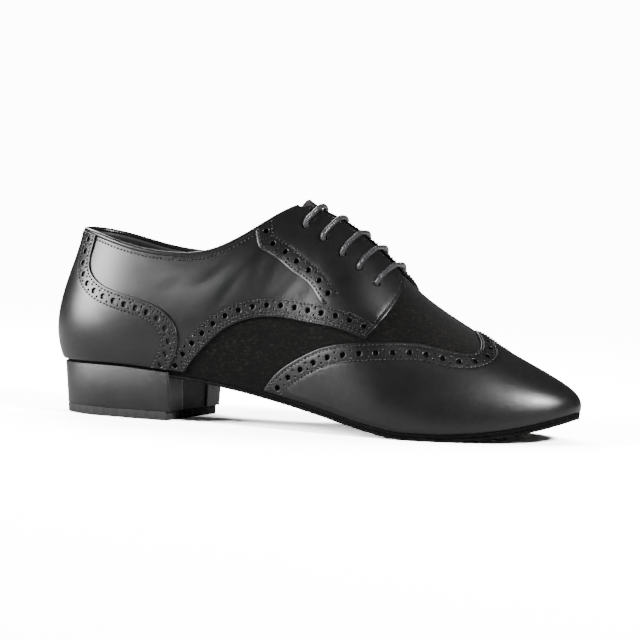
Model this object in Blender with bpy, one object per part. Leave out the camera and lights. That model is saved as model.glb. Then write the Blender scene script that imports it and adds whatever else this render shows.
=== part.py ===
"""Ballroom dance shoe for the right foot, as closed solids in metres.

+X points to the toe, +Y to the inner side of the foot and +Z up. The origin is the centre of the
heel's ground face. Every leather piece is cut from one skin, worked out from length, ball width,
instep height and heel height: a turn round the feather line (where the upper meets the sole) and
a share of the way from there up to the rim. Layers lie at set distances from that skin.
"""

import math

import bpy
import numpy as np
from mathutils import Vector
from mathutils.geometry import delaunay_2d_cdt

# Driving sizes of the last.
LENGTH = 0.294
BALL_WIDTH = 0.091
INSTEP_HEIGHT = 0.121
TOE_SPRING = 0.0123
SWING = 0.0035

# Upper.
GAP = 0.0003
LAYER_GAP = 0.0004
UPPER_WALL = 0.0016
PANEL = 0.0010
TRIM = 0.0008
FACING_GAP = 0.0070
BINDING_THICK = 0.0020
TONGUE_THICK = 0.0016
INSOLE_THICK = 0.0020

# Sole and heel.
OUTSOLE_THICK = 0.0023
SUEDE_THICK = 0.0013
SOLE_EDGE = 0.0011
SEAT_EDGE = 0.0015
HEEL_HEIGHT = 0.0273
TOP_PIECE = 0.0050
HEEL_LENGTH = 0.0772
BREAST_SKEW = 0.110
HEEL_COVER = 0.0010
COVER_FLAP = 0.0165
TOP_PIECE_SETBACK = 0.0020
BACK_TAPER = 0.030
SIDE_TAPER = 0.110

# Laces: cord, hole, room beside a hole for a passing run, and lift of a bar over the facings.
CORD = 0.0025
LACE_HOLE = 0.0046
LACE_LANE = 0.0030
BAR_LIFT = 0.0006

# Height of a section, which turns a distance up the skin into a share of the way up.
SECTION_RUN = 0.085

# Push of a bar's ends towards the ridge, as a share of the way up, the shares of the way to
# the facing's edge where a bar is pinned down, and its lean towards the toe by the time it
# is over the middle, as a share of the length.
BAR_PUSH = 0.02
BAR_STEPS = (0.0, 0.35, 0.70)
BAR_SLANT = 0.012

# Fineness: squares of the skin's lattice up a section, sides of a cord and of a lace hole.
ROWS = 9
CORD_SIDES = 6
HOLE_SIDES = 6

HEEL_CENTRE = HEEL_LENGTH / 2
STACK = SUEDE_THICK + GAP + OUTSOLE_THICK + GAP
SEAT = HEEL_HEIGHT + GAP + OUTSOLE_THICK + GAP
LINING = -UPPER_WALL
PANEL_LOW = LAYER_GAP
PANEL_HIGH = PANEL_LOW + PANEL
TRIM_LOW = PANEL_HIGH + LAYER_GAP
TRIM_HIGH = TRIM_LOW + TRIM
CORD_OVER = TRIM_HIGH + GAP + CORD / 2
CORD_UNDER = LINING - GAP - CORD / 2
TONGUE_TOP = CORD_UNDER - CORD / 2 - 2 * GAP
EDGE_HALF = FACING_GAP / 2

# Feather line: along, outer half width and inner half width as shares of the ball width.
PLAN = np.array([
    (0.00, 0.000, 0.000),
    (0.03, 0.203, 0.203),
    (0.08, 0.291, 0.291),
    (0.16, 0.335, 0.324),
    (0.25, 0.346, 0.319),
    (0.36, 0.346, 0.280),
    (0.46, 0.379, 0.286),
    (0.56, 0.440, 0.374),
    (0.66, 0.495, 0.473),
    (0.74, 0.500, 0.505),
    (0.82, 0.451, 0.467),
    (0.90, 0.352, 0.363),
    (0.96, 0.231, 0.236),
    (1.00, 0.000, 0.000),
])

# Ends of the flat spot under the ball, as shares of the length.
FLAT_START = 0.72
FLAT_END = 0.78

# Side line: along, share of the heel's rise, share of the toe spring.
PROFILE = np.array([
    (0.00, 1.000, 0.00),
    (0.08, 1.004, 0.00),
    (0.16, 0.996, 0.00),
    (0.25, 0.927, 0.00),
    (0.36, 0.788, 0.00),
    (0.46, 0.592, 0.00),
    (0.56, 0.362, 0.00),
    (0.66, 0.100, 0.00),
    (FLAT_START, 0.000, 0.00),
    (FLAT_END, 0.000, 0.00),
    (0.84, 0.000, 0.10),
    (0.90, 0.000, 0.31),
    (0.96, 0.000, 0.67),
    (1.00, 0.000, 1.00),
])

# Rim: along the feather line, place of the rim as a share of the length, outer and inner half
# width as shares of the ball width, height as a share of the instep height.
RIM = np.array([
    (0.00, 0.0352, 0.000, 0.000, 0.847),
    (0.03, 0.0465, 0.132, 0.132, 0.842),
    (0.08, 0.0880, 0.220, 0.220, 0.820),
    (0.16, 0.1580, 0.280, 0.280, 0.776),
    (0.25, 0.2449, 0.297, 0.297, 0.751),
    (0.33, 0.3265, 0.275, 0.275, 0.777),
    (0.40, 0.4014, 0.187, 0.187, 0.883),
    (0.46, 0.4694, 0.055, 0.055, 0.987),
    (0.52, 0.5238, 0.000, 0.000, 0.957),
    (0.60, 0.5986, 0.000, 0.000, 0.837),
    (0.70, 0.6973, 0.000, 0.000, 0.629),
    (0.78, 0.7755, 0.000, 0.000, 0.505),
    (0.85, 0.8223, 0.000, 0.000, 0.436),
    (0.92, 0.8473, 0.000, 0.000, 0.397),
    (1.00, 0.8673, 0.000, 0.000, 0.371),
])

# Where the two rims meet and the ridge starts, as a share of the length.
RIDGE_START = 0.52

# Section: along, bulge at the foot as a share of the ball width, its share of the height,
# reach of the top as a share of the half width, dip of the top as a share of the height.
SECTION = np.array([
    (0.00, 0.124, 0.34, 0.10, 0.30),
    (0.08, 0.126, 0.35, 0.10, 0.30),
    (0.16, 0.102, 0.35, 0.10, 0.30),
    (0.25, 0.077, 0.40, 0.12, 0.30),
    (0.33, 0.066, 0.45, 0.25, 0.30),
    (0.40, 0.066, 0.50, 0.35, 0.25),
    (0.46, 0.066, 0.50, 0.45, 0.18),
    (0.52, 0.066, 0.50, 0.50, 0.05),
    (0.60, 0.066, 0.50, 0.55, 0.00),
    (0.70, 0.052, 0.43, 0.51, 0.00),
    (0.80, 0.028, 0.34, 0.63, 0.00),
    (0.90, 0.020, 0.36, 0.79, 0.00),
    (1.00, 0.020, 0.34, 0.84, 0.00),
])

# Centres of the heel's and the toe's roundings, as shares of the length, and their softness.
HEEL_FAN = 0.116
TOE_FAN = 0.867
FAN_SOFT = 0.041

# Where the middle of the last starts to swing to the inner side, as a share of the length.
SWING_START = 0.45

# Width of the lattice's columns round the outline: along, metres.
COLUMNS = np.array([
    (0.00, 0.0066),
    (0.10, 0.0072),
    (0.20, 0.0095),
    (0.32, 0.0110),
    (0.40, 0.0090),
    (0.46, 0.0085),
    (0.58, 0.0115),
    (0.80, 0.0100),
    (0.92, 0.0075),
    (1.00, 0.0068),
])

# Edges of the panels on the skin: along, share of the way up.
COUNTER_EDGE = [
    (0.068, 1.000), (0.066, 0.880), (0.067, 0.770), (0.075, 0.706), (0.101, 0.630),
    (0.147, 0.588), (0.210, 0.540), (0.248, 0.459), (0.269, 0.324), (0.272, 0.190),
    (0.262, 0.090), (0.250, 0.000),
]
QUARTER_EDGE = [
    (0.639, 0.366), (0.589, 0.335), (0.533, 0.304), (0.469, 0.304), (0.429, 0.318),
    (0.391, 0.326), (0.357, 0.296), (0.333, 0.233), (0.306, 0.132), (0.280, 0.000),
]
FACING_FRONT = [
    (0.660, None), (0.669, 0.920), (0.677, 0.850), (0.679, 0.740), (0.668, 0.560),
    (0.655, 0.460), (0.639, 0.366),
]
FACING_REAR = [
    (0.396, 1.000), (0.401, 0.905), (0.408, 0.815), (0.427, 0.705), (0.459, 0.571),
    (0.487, 0.501), (0.521, 0.456), (0.541, 0.417), (0.556, 0.392),
]
FACING_FOOT = [(0.556, 0.392), (0.585, 0.411), (0.618, 0.438), (0.6530, 0.462)]
WING_EDGE = [
    (0.443, 0.000), (0.458, 0.048), (0.483, 0.104), (0.519, 0.164), (0.559, 0.226),
    (0.599, 0.283), (0.636, 0.344), (0.666, 0.403), (0.699, 0.475), (0.730, 0.540),
    (0.758, 0.578), (0.791, 0.613), (0.822, 0.656), (0.845, 0.748), (0.846, 0.842),
    (0.834, 0.925), (0.818, 1.000),
]
COLLAR_END = 0.455
THROAT_TOP = 0.475
THROAT_END = 0.668

# Lace holes from the top: along, share of the way up.
LACE_HOLES = [(0.482, 0.794), (0.527, 0.712), (0.570, 0.678), (0.604, 0.671), (0.639, 0.673)]

# Tongue, from its front to its top: along the ridge, slide up and back past the last row in
# metres, half width along the skin in metres, drop below the skin as a share of its full drop.
TONGUE_ROWS = [
    (0.740, 0.000, 0.016, 0.00), (0.715, 0.000, 0.020, 0.10), (0.690, 0.000, 0.023, 0.55),
    (0.665, 0.000, 0.025, 1.00), (0.640, 0.000, 0.026, 1.00), (0.610, 0.000, 0.026, 1.00), (0.575, 0.000, 0.025, 1.00),
    (0.545, 0.000, 0.024, 1.00), (0.520, 0.000, 0.021, 1.00), (0.500, 0.000, 0.018, 1.00),
    (0.482, 0.000, 0.015, 1.00), (0.482, 0.004, 0.0130, 1.00), (0.482, 0.008, 0.0115, 1.00),
    (0.482, 0.0115, 0.0095, 1.00), (0.482, 0.0135, 0.0062, 1.00),
]
TONGUE_LEAN = (-0.72, 0.694)

# Finish of each piece: colour, roughness, metallic.
FINISHES = {
    "suede_upper": ((0.030, 0.028, 0.026), 0.95, 0.0),
    "black_leather": ((0.020, 0.020, 0.021), 0.32, 0.0),
    "tongue_suede": ((0.026, 0.025, 0.024), 0.95, 0.0),
    "insole_leather": ((0.050, 0.045, 0.040), 0.70, 0.0),
    "outsole_leather": ((0.022, 0.021, 0.020), 0.60, 0.0),
    "chrome_suede": ((0.080, 0.075, 0.070), 1.00, 0.0),
    "heel_core": ((0.030, 0.029, 0.028), 0.75, 0.0),
    "heel_leather": ((0.040, 0.040, 0.041), 0.35, 0.0),
    "heel_rubber": ((0.015, 0.015, 0.015), 0.90, 0.0),
    "waxed_cord": ((0.018, 0.018, 0.018), 0.40, 0.0),
}


def curve(xs, ys, level=False):
    """A cubic spline through the points, as a function. Its ends are level, or free of bending."""
    xs, ys = np.asarray(xs, float), np.asarray(ys, float)
    step = np.diff(xs)
    slope = np.diff(ys) / step
    count = len(xs)
    system, right = np.zeros((count, count)), np.zeros(count)
    for i in range(1, count - 1):
        system[i, i - 1 : i + 2] = step[i - 1], 2 * (step[i - 1] + step[i]), step[i]
        right[i] = 6 * (slope[i] - slope[i - 1])
    system[0, 0] = system[-1, -1] = 1
    if level:
        system[0, :2] = 2 * step[0], step[0]
        system[-1, -2:] = step[-1], 2 * step[-1]
        right[0], right[-1] = 6 * slope[0], -6 * slope[-1]
    bend = np.linalg.solve(system, right)

    def at(x):
        x = np.clip(x, xs[0], xs[-1])
        i = np.clip(np.searchsorted(xs, x) - 1, 0, count - 2)
        far = (x - xs[i]) / step[i]
        near = 1 - far
        return near * ys[i] + far * ys[i + 1] + (
            (near**3 - near) * bend[i] + (far**3 - far) * bend[i + 1]
        ) * step[i] ** 2 / 6

    return at


def turn(along):
    """The turn round the feather line at a share of the length, 0 at the heel and pi at the toe."""
    return np.arccos(1 - 2 * np.clip(along, 0, 1))


def share(angle):
    return (1 - np.cos(angle)) / 2


def of_turn(table, column, level=False):
    return curve(turn(table[:, 0]), table[:, column], level)


plan_outer, plan_inner = of_turn(PLAN, 1), of_turn(PLAN, 2)
heel_rise, toe_rise = of_turn(PROFILE, 1, True), of_turn(PROFILE, 2, True)
rim_place, rim_height = of_turn(RIM, 1, True), of_turn(RIM, 4, True)
rim_outer, rim_inner = of_turn(RIM, 2), of_turn(RIM, 3)
ridge_rows = RIM[RIM[:, 0] >= RIDGE_START]
ridge_height = curve(ridge_rows[:, 1], ridge_rows[:, 4])
bulge, bulge_up, reach, dip = (of_turn(SECTION, i, True) for i in (1, 2, 3, 4))


def feather_height(along):
    """Height of the feather line: the seat at the heel, the sole's stack under the ball, then the toe spring."""
    angle = turn(along)
    rise = np.maximum(heel_rise(angle), 0) * (SEAT - STACK)
    return STACK + rise + np.maximum(toe_rise(angle), 0) * TOE_SPRING


def feather_at(x):
    return feather_height(np.clip(x / LENGTH, 0, 1))


def smooth(value):
    value = np.clip(value, 0, 1)
    return value * value * (3 - 2 * value)


def fan_centre(x):
    """Place along the middle that the section at x runs to: x itself, held between the heel's and the toe's centres."""
    soft = FAN_SOFT * LENGTH
    low = HEEL_FAN * LENGTH + soft * np.logaddexp(0, (x - HEEL_FAN * LENGTH) / soft)
    return TOE_FAN * LENGTH - soft * np.logaddexp(0, (TOE_FAN * LENGTH - low) / soft)


def swing(x):
    """How far the last's middle lies to the inner side at a place along the shoe."""
    return SWING * smooth((x / LENGTH - SWING_START) / (1 - SWING_START))


def outside(angle, up):
    """Points of the skin at a turn (minus on the outer side) and a share of the way up. x starts at the heel's back."""
    angle = (np.asarray(angle, float) + math.pi) % (2 * math.pi) - math.pi
    up = np.asarray(up, float)
    side = np.where(angle < 0, -1.0, 1.0)
    angle = np.abs(angle)
    x0 = LENGTH * share(angle)
    y0 = side * np.where(side < 0, plan_outer(angle), plan_inner(angle)) * BALL_WIDTH
    z0 = feather_height(share(angle))
    x3 = rim_place(angle) * LENGTH
    y3 = side * np.where(side < 0, rim_outer(angle), rim_inner(angle)) * BALL_WIDTH
    y3 = np.where(share(angle) > RIDGE_START, 0, y3)
    place = rim_place(angle)
    on_ridge = smooth((share(angle) - RIDGE_START) / 0.08)
    z3 = (rim_height(angle) * (1 - on_ridge) + ridge_height(place) * on_ridge) * INSTEP_HEIGHT
    slope = (ridge_height(place) - ridge_height(place - 1e-3)) / 1e-3
    slope *= on_ridge * INSTEP_HEIGHT / LENGTH
    ex, ey = x0 - fan_centre(x0), y0
    half = np.hypot(ex, ey)
    ex, ey = ex / np.maximum(half, 1e-9), ey / np.maximum(half, 1e-9)
    tall = z3 - z0
    out = bulge(angle) * BALL_WIDTH
    inward = reach(angle) * half
    foot = (x0 + ex * out, y0 + ey * out, z0 + bulge_up(angle) * tall)
    top = (x3 + ex * inward, y3 + ey * inward, z3 + slope * ex * inward - dip(angle) * tall)
    a, b, c, d = (1 - up) ** 3, 3 * (1 - up) ** 2 * up, 3 * (1 - up) * up**2, up**3
    x = a * x0 + b * foot[0] + c * top[0] + d * x3
    y = a * y0 + b * foot[1] + c * top[1] + d * y3
    z = a * z0 + b * foot[2] + c * top[2] + d * z3
    return np.stack([x, y + swing(x), z], axis=-1)


def directions(angle, up):
    """Unit vectors at points of the skin: round the shoe, up the section and outward."""
    step = 1e-4
    held = np.minimum(up, 0.985)
    around = outside(angle + step, held) - outside(angle - step, held)
    rise = outside(angle, np.minimum(up + step, 1)) - outside(angle, np.maximum(up - step, 0))
    out = np.cross(rise, around)
    ridge = (up > 0.999) & (share(angle) > RIDGE_START)
    out[..., 1] = np.where(ridge, 0, out[..., 1])
    unit = [v / np.linalg.norm(v, axis=-1, keepdims=True) for v in (around, rise, out)]
    return unit


def skin(angle, up, lift):
    """Points at a distance outward from the skin. The lowest row is kept level with the feather line."""
    angle, up = np.asarray(angle, float), np.asarray(up, float)
    points = outside(angle, up) + directions(angle, up)[2] * np.asarray(lift)[..., None]
    level = feather_at(points[..., 0])
    points[..., 2] = np.where(up <= 0, level, np.maximum(points[..., 2], level))
    return points


def lattice_columns():
    """The lattice's columns: a function from turn to column, and the turn of each whole column."""
    fine = np.linspace(0, math.pi, 2001)
    line = np.stack([LENGTH * share(fine), plan_outer(fine) * BALL_WIDTH], axis=1)
    run = np.linalg.norm(np.diff(line, axis=0), axis=1)
    width = np.interp(share((fine[1:] + fine[:-1]) / 2), COLUMNS[:, 0], COLUMNS[:, 1])
    count = np.concatenate([[0], np.cumsum(run / width)])
    total = round(count[-1])
    count *= total / count[-1]
    return fine, count, total


TURNS, COUNTS, TOTAL = lattice_columns()


def to_plane(angle, up):
    """The lattice's plane, where each square is 1 by 1."""
    angle = np.asarray(angle, float)
    fold = np.abs(angle)
    past = fold > math.pi
    column = np.interp(np.where(past, 2 * math.pi - fold, fold), TURNS, COUNTS)
    column = np.where(past, 2 * TOTAL - column, column)
    return np.stack([np.sign(angle) * column, np.asarray(up, float) * ROWS], axis=-1)


def from_plane(points):
    column = np.abs(points[:, 0])
    past = column > TOTAL
    fold = np.interp(np.where(past, 2 * TOTAL - column, column), COUNTS, TURNS)
    fold = np.where(past, 2 * math.pi - fold, fold)
    return np.sign(points[:, 0]) * fold, points[:, 1] / ROWS


def inside(points, polygon):
    """Which points lie inside the polygon, by crossings of a level ray."""
    x, y = points[:, 0:1], points[:, 1:2]
    x0, y0 = polygon[:, 0], polygon[:, 1]
    x1, y1 = np.roll(x0, -1), np.roll(y0, -1)
    crosses = (y0 > y) != (y1 > y)
    at = x0 + (y - y0) / np.where(y1 == y0, 1, y1 - y0) * (x1 - x0)
    return (crosses & (x < at)).sum(axis=1) % 2 == 1


def distance(points, polygon):
    a, b = polygon, np.roll(polygon, -1, axis=0)
    edge = b - a
    t = ((points[:, None] - a) * edge).sum(axis=2) / np.maximum((edge**2).sum(axis=1), 1e-18)
    near = a + np.clip(t, 0, 1)[..., None] * edge
    return np.linalg.norm(points[:, None] - near, axis=2).min(axis=1)


def triangulate(loops, extra, lines=()):
    """Triangles inside the first loop and outside the rest, through the extra points and along the lines too."""
    points = np.concatenate([*loops, *lines, extra])
    edges, start = [], 0
    for loop in loops:
        count = len(loop)
        edges += [(start + i, start + (i + 1) % count) for i in range(count)]
        start += count
    for line in lines:
        edges += [(start + i, start + i + 1) for i in range(len(line) - 1)]
        start += len(line)
    found = delaunay_2d_cdt([Vector(p) for p in points], edges, [], 0, 1e-9)
    places = np.array([tuple(v) for v in found[0]])
    faces = np.array(found[2])
    middle = places[faces].mean(axis=1)
    keep = inside(middle, loops[0])
    for hole in loops[1:]:
        keep &= ~inside(middle, hole)
    faces = faces[keep]
    corner = places[faces]
    area = np.cross(corner[:, 1] - corner[:, 0], corner[:, 2] - corner[:, 0])
    faces = np.where(area[:, None] < 0, faces[:, ::-1], faces)
    return places, faces[np.abs(area) > 1e-12]


def two_sided(faces, high, low):
    """A closed solid of two like sheets, joined along every open edge. The high sheet's faces turn outward."""
    count = len(high)
    ends = np.concatenate([faces[:, [0, 1]], faces[:, [1, 2]], faces[:, [2, 0]]])
    keys = {tuple(e) for e in ends.tolist()}
    rim = [(a, b) for a, b in keys if (b, a) not in keys]
    walls = [(a, a + count, b + count) for a, b in rim] + [(a, b + count, b) for a, b in rim]
    below = faces[:, ::-1] + count
    return np.concatenate([high, low]), np.concatenate([faces, below, np.array(walls)])


def material(name):
    if name in bpy.data.materials:
        return bpy.data.materials[name]
    colour, roughness, metallic = FINISHES[name]
    made = bpy.data.materials.new(name)
    made.use_nodes = True
    shader = made.node_tree.nodes["Principled BSDF"]
    shader.inputs["Base Color"].default_value = (*colour, 1)
    shader.inputs["Roughness"].default_value = roughness
    shader.inputs["Metallic"].default_value = metallic
    made.diffuse_color = (*colour, 1)
    return made


def add(name, points, faces, finish):
    """A mesh object from points whose x starts at the heel's back."""
    points = points - np.array([HEEL_CENTRE, 0, 0])
    used, faces = np.unique(faces, return_inverse=True)
    faces = faces.reshape(-1, 3)
    mesh = bpy.data.meshes.new(name)
    mesh.from_pydata(points[used].tolist(), [], faces.tolist())
    mesh.update()
    mesh.materials.append(material(finish))
    made = bpy.data.objects.new(name, mesh)
    bpy.context.scene.collection.objects.link(made)
    return made


def along_edge(table, side, spacing=0.0056):
    """The edge named by a table of (along, up) on one side, as turn and up, spaced evenly in space."""
    rows = [(along, facing_edge(turn(along)) if up is None else up) for along, up in table]
    angle = turn(np.array([row[0] for row in rows]))
    up = np.array([row[1] for row in rows])
    place = to_plane(angle, up)
    way = np.concatenate([[0], np.cumsum(np.linalg.norm(np.diff(place, axis=0), axis=1))])
    fine = np.linspace(0, way[-1], 400)
    angle, up = curve(way, angle)(fine), np.clip(curve(way, up)(fine), 0, 1)
    points = outside(side * angle, up)
    run = np.concatenate([[0], np.cumsum(np.linalg.norm(np.diff(points, axis=0), axis=1))])
    count = max(2, round(run[-1] / spacing) + 1)
    even = np.interp(np.linspace(0, run[-1], count), run, fine)
    angle = np.interp(even, fine, angle)
    up = np.interp(even, fine, up)
    return np.stack([side * angle, up], axis=1)


def facing_edge(angle):
    """How far up the skin the facing's edge lies, half the facing gap from the middle. 1 where the rim is further out."""
    angle = np.atleast_1d(np.asarray(angle, float))
    ups = np.linspace(0.7, 1, 301)
    found = []
    for value in angle:
        line = outside(np.full(301, -value), ups)
        half = np.abs(line[:, 1] - swing(line[:, 0]))
        found.append(1.0 if half[-1] >= EDGE_HALF else np.interp(-EDGE_HALF, -half, ups))
    return np.array(found) if len(found) > 1 else found[0]


def columns_between(first, last, side=1):
    """The turns of the whole columns strictly between two shares of the length, plus both ends."""
    a, b = turn(first), turn(last)
    ends = np.interp([a, b], TURNS, COUNTS)
    whole = np.arange(math.ceil(min(ends) + 0.35), math.floor(max(ends) - 0.35) + 1)
    inner = np.interp(whole, COUNTS, TURNS)
    if a > b:
        inner = inner[::-1]
    return side * np.concatenate([[a], inner, [b]])


def join(*parts):
    """One loop from runs of (turn, up), without the points that repeat."""
    loop = np.concatenate(parts)
    gap = np.linalg.norm(to_plane(*loop.T) - to_plane(*np.roll(loop, -1, axis=0).T), axis=1)
    return loop[gap > 1e-3]


def row(angle, up):
    return np.stack([angle, np.full(len(angle), float(up))], axis=1)


def ring(along, up, radius, sides, side):
    """A round hole in the skin, as turn and up, true in the skin's own plane."""
    angle = side * turn(along)
    step = 1e-4
    one = np.array([angle, up])
    moves = [outside(*(one + d)) - outside(*(one - d)) for d in (np.array([step, 0]), np.array([0, step]))]
    jacobian = np.stack(moves, axis=1) / (2 * step)
    circle = np.linspace(0, 2 * math.pi, sides, endpoint=False)
    unit_a = jacobian[:, 0] / np.linalg.norm(jacobian[:, 0])
    unit_b = jacobian[:, 1] - unit_a * (jacobian[:, 1] @ unit_a)
    unit_b /= np.linalg.norm(unit_b)
    offsets = radius * (np.cos(circle)[:, None] * unit_a + np.sin(circle)[:, None] * unit_b)
    return one + offsets @ np.linalg.pinv(jacobian).T


def lace_rings(side):
    return [ring(along, up, LACE_HOLE / 2, HOLE_SIDES, side) for along, up in LACE_HOLES]


def sheet(name, outline, holes, low, high, finish, lines=()):
    """A piece of the skin between two distances from it, within an outline of (turn, up) and around its holes.

    Its triangles also follow the given lines, so that an overlay's edge has the same facets under it.
    """
    loops = [to_plane(*loop.T) for loop in [outline] + holes]
    lines = [to_plane(*line.T) for line in lines]
    least, most = np.floor(loops[0].min(axis=0)), np.ceil(loops[0].max(axis=0))
    xs, ys = np.arange(least[0], most[0] + 1), np.arange(least[1], most[1] + 1)
    extra = np.stack(np.meshgrid(xs, ys, indexing="ij"), axis=-1).reshape(-1, 2)
    extra = extra[inside(extra, loops[0])]
    for loop in loops:
        extra = extra[distance(extra, loop) > 0.2]
    for line in lines:
        extra = extra[distance(extra, np.concatenate([line, line[-2:0:-1]])) > 0.2]
    for hole in loops[1:]:
        extra = extra[~inside(extra, hole)]
    places, faces = triangulate(loops, extra, lines)
    angle, up = from_plane(places)
    up = np.where(up > 1 - 1e-6, 1.0, np.where(up < 1e-6, 0.0, up))
    key = np.round(outside(angle, up) * 1e6).astype(np.int64)
    _, first, index = np.unique(key, axis=0, return_index=True, return_inverse=True)
    faces = index.reshape(-1)[faces]
    angle, up = angle[first], up[first]
    points, faces = two_sided(faces, skin(angle, up, high), skin(angle, up, low))
    return add(name, points, outward(points, faces), finish)


def outward(points, faces):
    """The faces turned round if they enclose a negative volume."""
    corner = points[faces]
    volume = np.einsum("ij,ij->i", corner[:, 0], np.cross(corner[:, 1], corner[:, 2])).sum()
    return faces if volume > 0 else faces[:, ::-1]


def build_upper():
    """The inner shell: suede vamp and lining in one, open at the collar, the throat and underneath."""
    bottom = row(np.concatenate([columns_between(0, 1), 2 * math.pi - columns_between(0, 1)[::-1][1:]]), 0)
    seam = np.arange(1, ROWS) / ROWS
    back = lambda at: np.stack([np.full(len(seam), at), seam], axis=1)
    slot = facing_line(1)
    ridge = row(columns_between(THROAT_END, 1), 1)
    top = np.concatenate([collar_line(1), slot, ridge])
    mirrored = np.stack([2 * math.pi - top[:, 0], top[:, 1]], axis=1)
    loop = join(bottom, back(2 * math.pi), mirrored, top[::-1][1:], back(0.0)[::-1])
    holes = lace_rings(1)
    holes += [np.stack([2 * math.pi - hole[:, 0], hole[:, 1]], axis=1) for hole in holes]
    return sheet("upper", loop, holes, LINING, 0.0, "suede_upper")


def collar_line(side):
    """The collar's edge from the back to the throat, with a point where the facing's rear edge meets it."""
    angle = np.concatenate([columns_between(0, FACING_REAR[0][0]), facing_top(1)[1:]])
    return row(side * angle, 1)


def facing_top(side):
    return columns_between(FACING_REAR[0][0], COLLAR_END, side)


def facing_line(side):
    """The facing's front edge along the throat."""
    angle = columns_between(THROAT_TOP, FACING_FRONT[0][0])
    return np.stack([side * angle, facing_edge(angle)], axis=1)


def build_quarters():
    """Both quarters with their facings, in one piece round the heel."""
    half = np.concatenate([
        collar_line(1)[1:],
        facing_line(1),
        along_edge(FACING_FRONT, 1),
        along_edge(QUARTER_EDGE, 1)[1:],
        row(columns_between(QUARTER_EDGE[-1][0], 0)[1:-1], 0),
    ])
    other = half[::-1] * np.array([-1, 1])
    loop = join(row(np.zeros(1), 1), half, row(np.zeros(1), 0), other)
    holes = lace_rings(1) + lace_rings(-1)
    rears = [along_edge(FACING_REAR, side)[1:] for side in (1, -1)]
    return sheet("quarters", loop, holes, PANEL_LOW, PANEL_HIGH, "black_leather", rears)


def build_facing(name, side):
    """The eyelet facing laid over a quarter, from its curved rear edge to the front corner."""
    front = along_edge(FACING_FRONT, side)
    keep = front[:, 1] > FACING_FOOT[-1][1] + 0.02
    loop = join(
        row(facing_top(side), 1),
        facing_line(side),
        front[keep],
        along_edge(FACING_FOOT, side)[::-1],
        along_edge(FACING_REAR, side)[::-1][1:],
    )
    return sheet(name, loop, lace_rings(side), TRIM_LOW, TRIM_HIGH, "black_leather")


def build_counter():
    """The heel counter over the quarters, with its strip up the back seam."""
    half = np.concatenate([
        row(columns_between(0, COUNTER_EDGE[0][0])[1:], 1),
        along_edge(COUNTER_EDGE, 1)[1:],
        row(columns_between(COUNTER_EDGE[-1][0], 0)[1:-1], 0),
    ])
    loop = join(row(np.zeros(1), 1), half, row(np.zeros(1), 0), half[::-1] * np.array([-1, 1]))
    return sheet("counter", loop, [], TRIM_LOW, TRIM_HIGH, "black_leather")


def build_wing_cap():
    """The wing tip over the vamp, closed over the ridge from its peak to the toe."""
    tail = WING_EDGE[0][0]
    half = np.concatenate([
        row(columns_between(1, tail), 0),
        along_edge(WING_EDGE, 1)[1:],
        row(columns_between(WING_EDGE[-1][0], 1)[1:], 1),
    ])
    other = np.stack([2 * math.pi - half[:, 0], half[:, 1]], axis=1)[::-1]
    return sheet("wing_cap", join(half, other[1:]), [], PANEL_LOW, PANEL_HIGH, "black_leather")


def tube(points, radius, sides):
    """A closed round tube along points, with pointed caps."""
    ahead = np.gradient(points, axis=0)
    ahead /= np.linalg.norm(ahead, axis=1, keepdims=True)
    normal = np.cross(ahead[0], [0.3, 0.2, 1.0])
    frames = []
    for direction in ahead:
        normal = normal - direction * (normal @ direction)
        normal /= np.linalg.norm(normal)
        frames.append((normal, np.cross(direction, normal)))
    around = np.linspace(0, 2 * math.pi, sides, endpoint=False)
    rings = [
        p + radius * (np.cos(around)[:, None] * n + np.sin(around)[:, None] * b)
        for p, (n, b) in zip(points, frames)
    ]
    body = np.concatenate(rings)
    count = len(points)
    i = np.arange(sides)
    j = (i + 1) % sides
    faces = []
    for k in range(count - 1):
        low, high = k * sides, (k + 1) * sides
        faces += [np.stack([low + i, low + j, high + j], 1), np.stack([low + i, high + j, high + i], 1)]
    tips = np.stack([points[0] - ahead[0] * radius * 0.6, points[-1] + ahead[-1] * radius * 0.6])
    first, last = len(body), len(body) + 1
    end = (count - 1) * sides
    faces += [np.stack([j, i, np.full(sides, first)], 1)]
    faces += [np.stack([end + i, end + j, np.full(sides, last)], 1)]
    body = np.concatenate([body, tips])
    faces = np.concatenate(faces)
    return body, outward(body, faces)


def build_binding():
    """The rolled binding on the collar's edge, from one facing round the heel to the other."""
    half = collar_line(1)[:, 0]
    angle = np.concatenate([-half[::-1], half[1:]])
    up = np.ones(len(angle))
    rise = directions(angle, up)[1]
    ahead = np.gradient(outside(angle, up), axis=0)
    ahead /= np.linalg.norm(ahead, axis=1, keepdims=True)
    rise -= ahead * (rise * ahead).sum(axis=1, keepdims=True)
    rise /= np.linalg.norm(rise, axis=1, keepdims=True)
    middle = (LINING + PANEL_HIGH) / 2
    points = skin(angle, up, np.full(len(angle), middle)) + rise * (BINDING_THICK / 2 + LAYER_GAP)
    body, faces = tube(points, BINDING_THICK / 2, 6)
    return add("collar_binding", body, faces, "black_leather")


def up_at(angle, far):
    """How far up the skin a point lies, measured down along the section from the ridge."""
    ups = np.linspace(0.3, 1, 351)
    line = outside(np.full(351, angle), ups)
    run = np.linalg.norm(np.diff(line, axis=0), axis=1)
    left = np.concatenate([np.cumsum(run[::-1])[::-1], [0]])
    return np.interp(-far, -left, ups)


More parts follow.
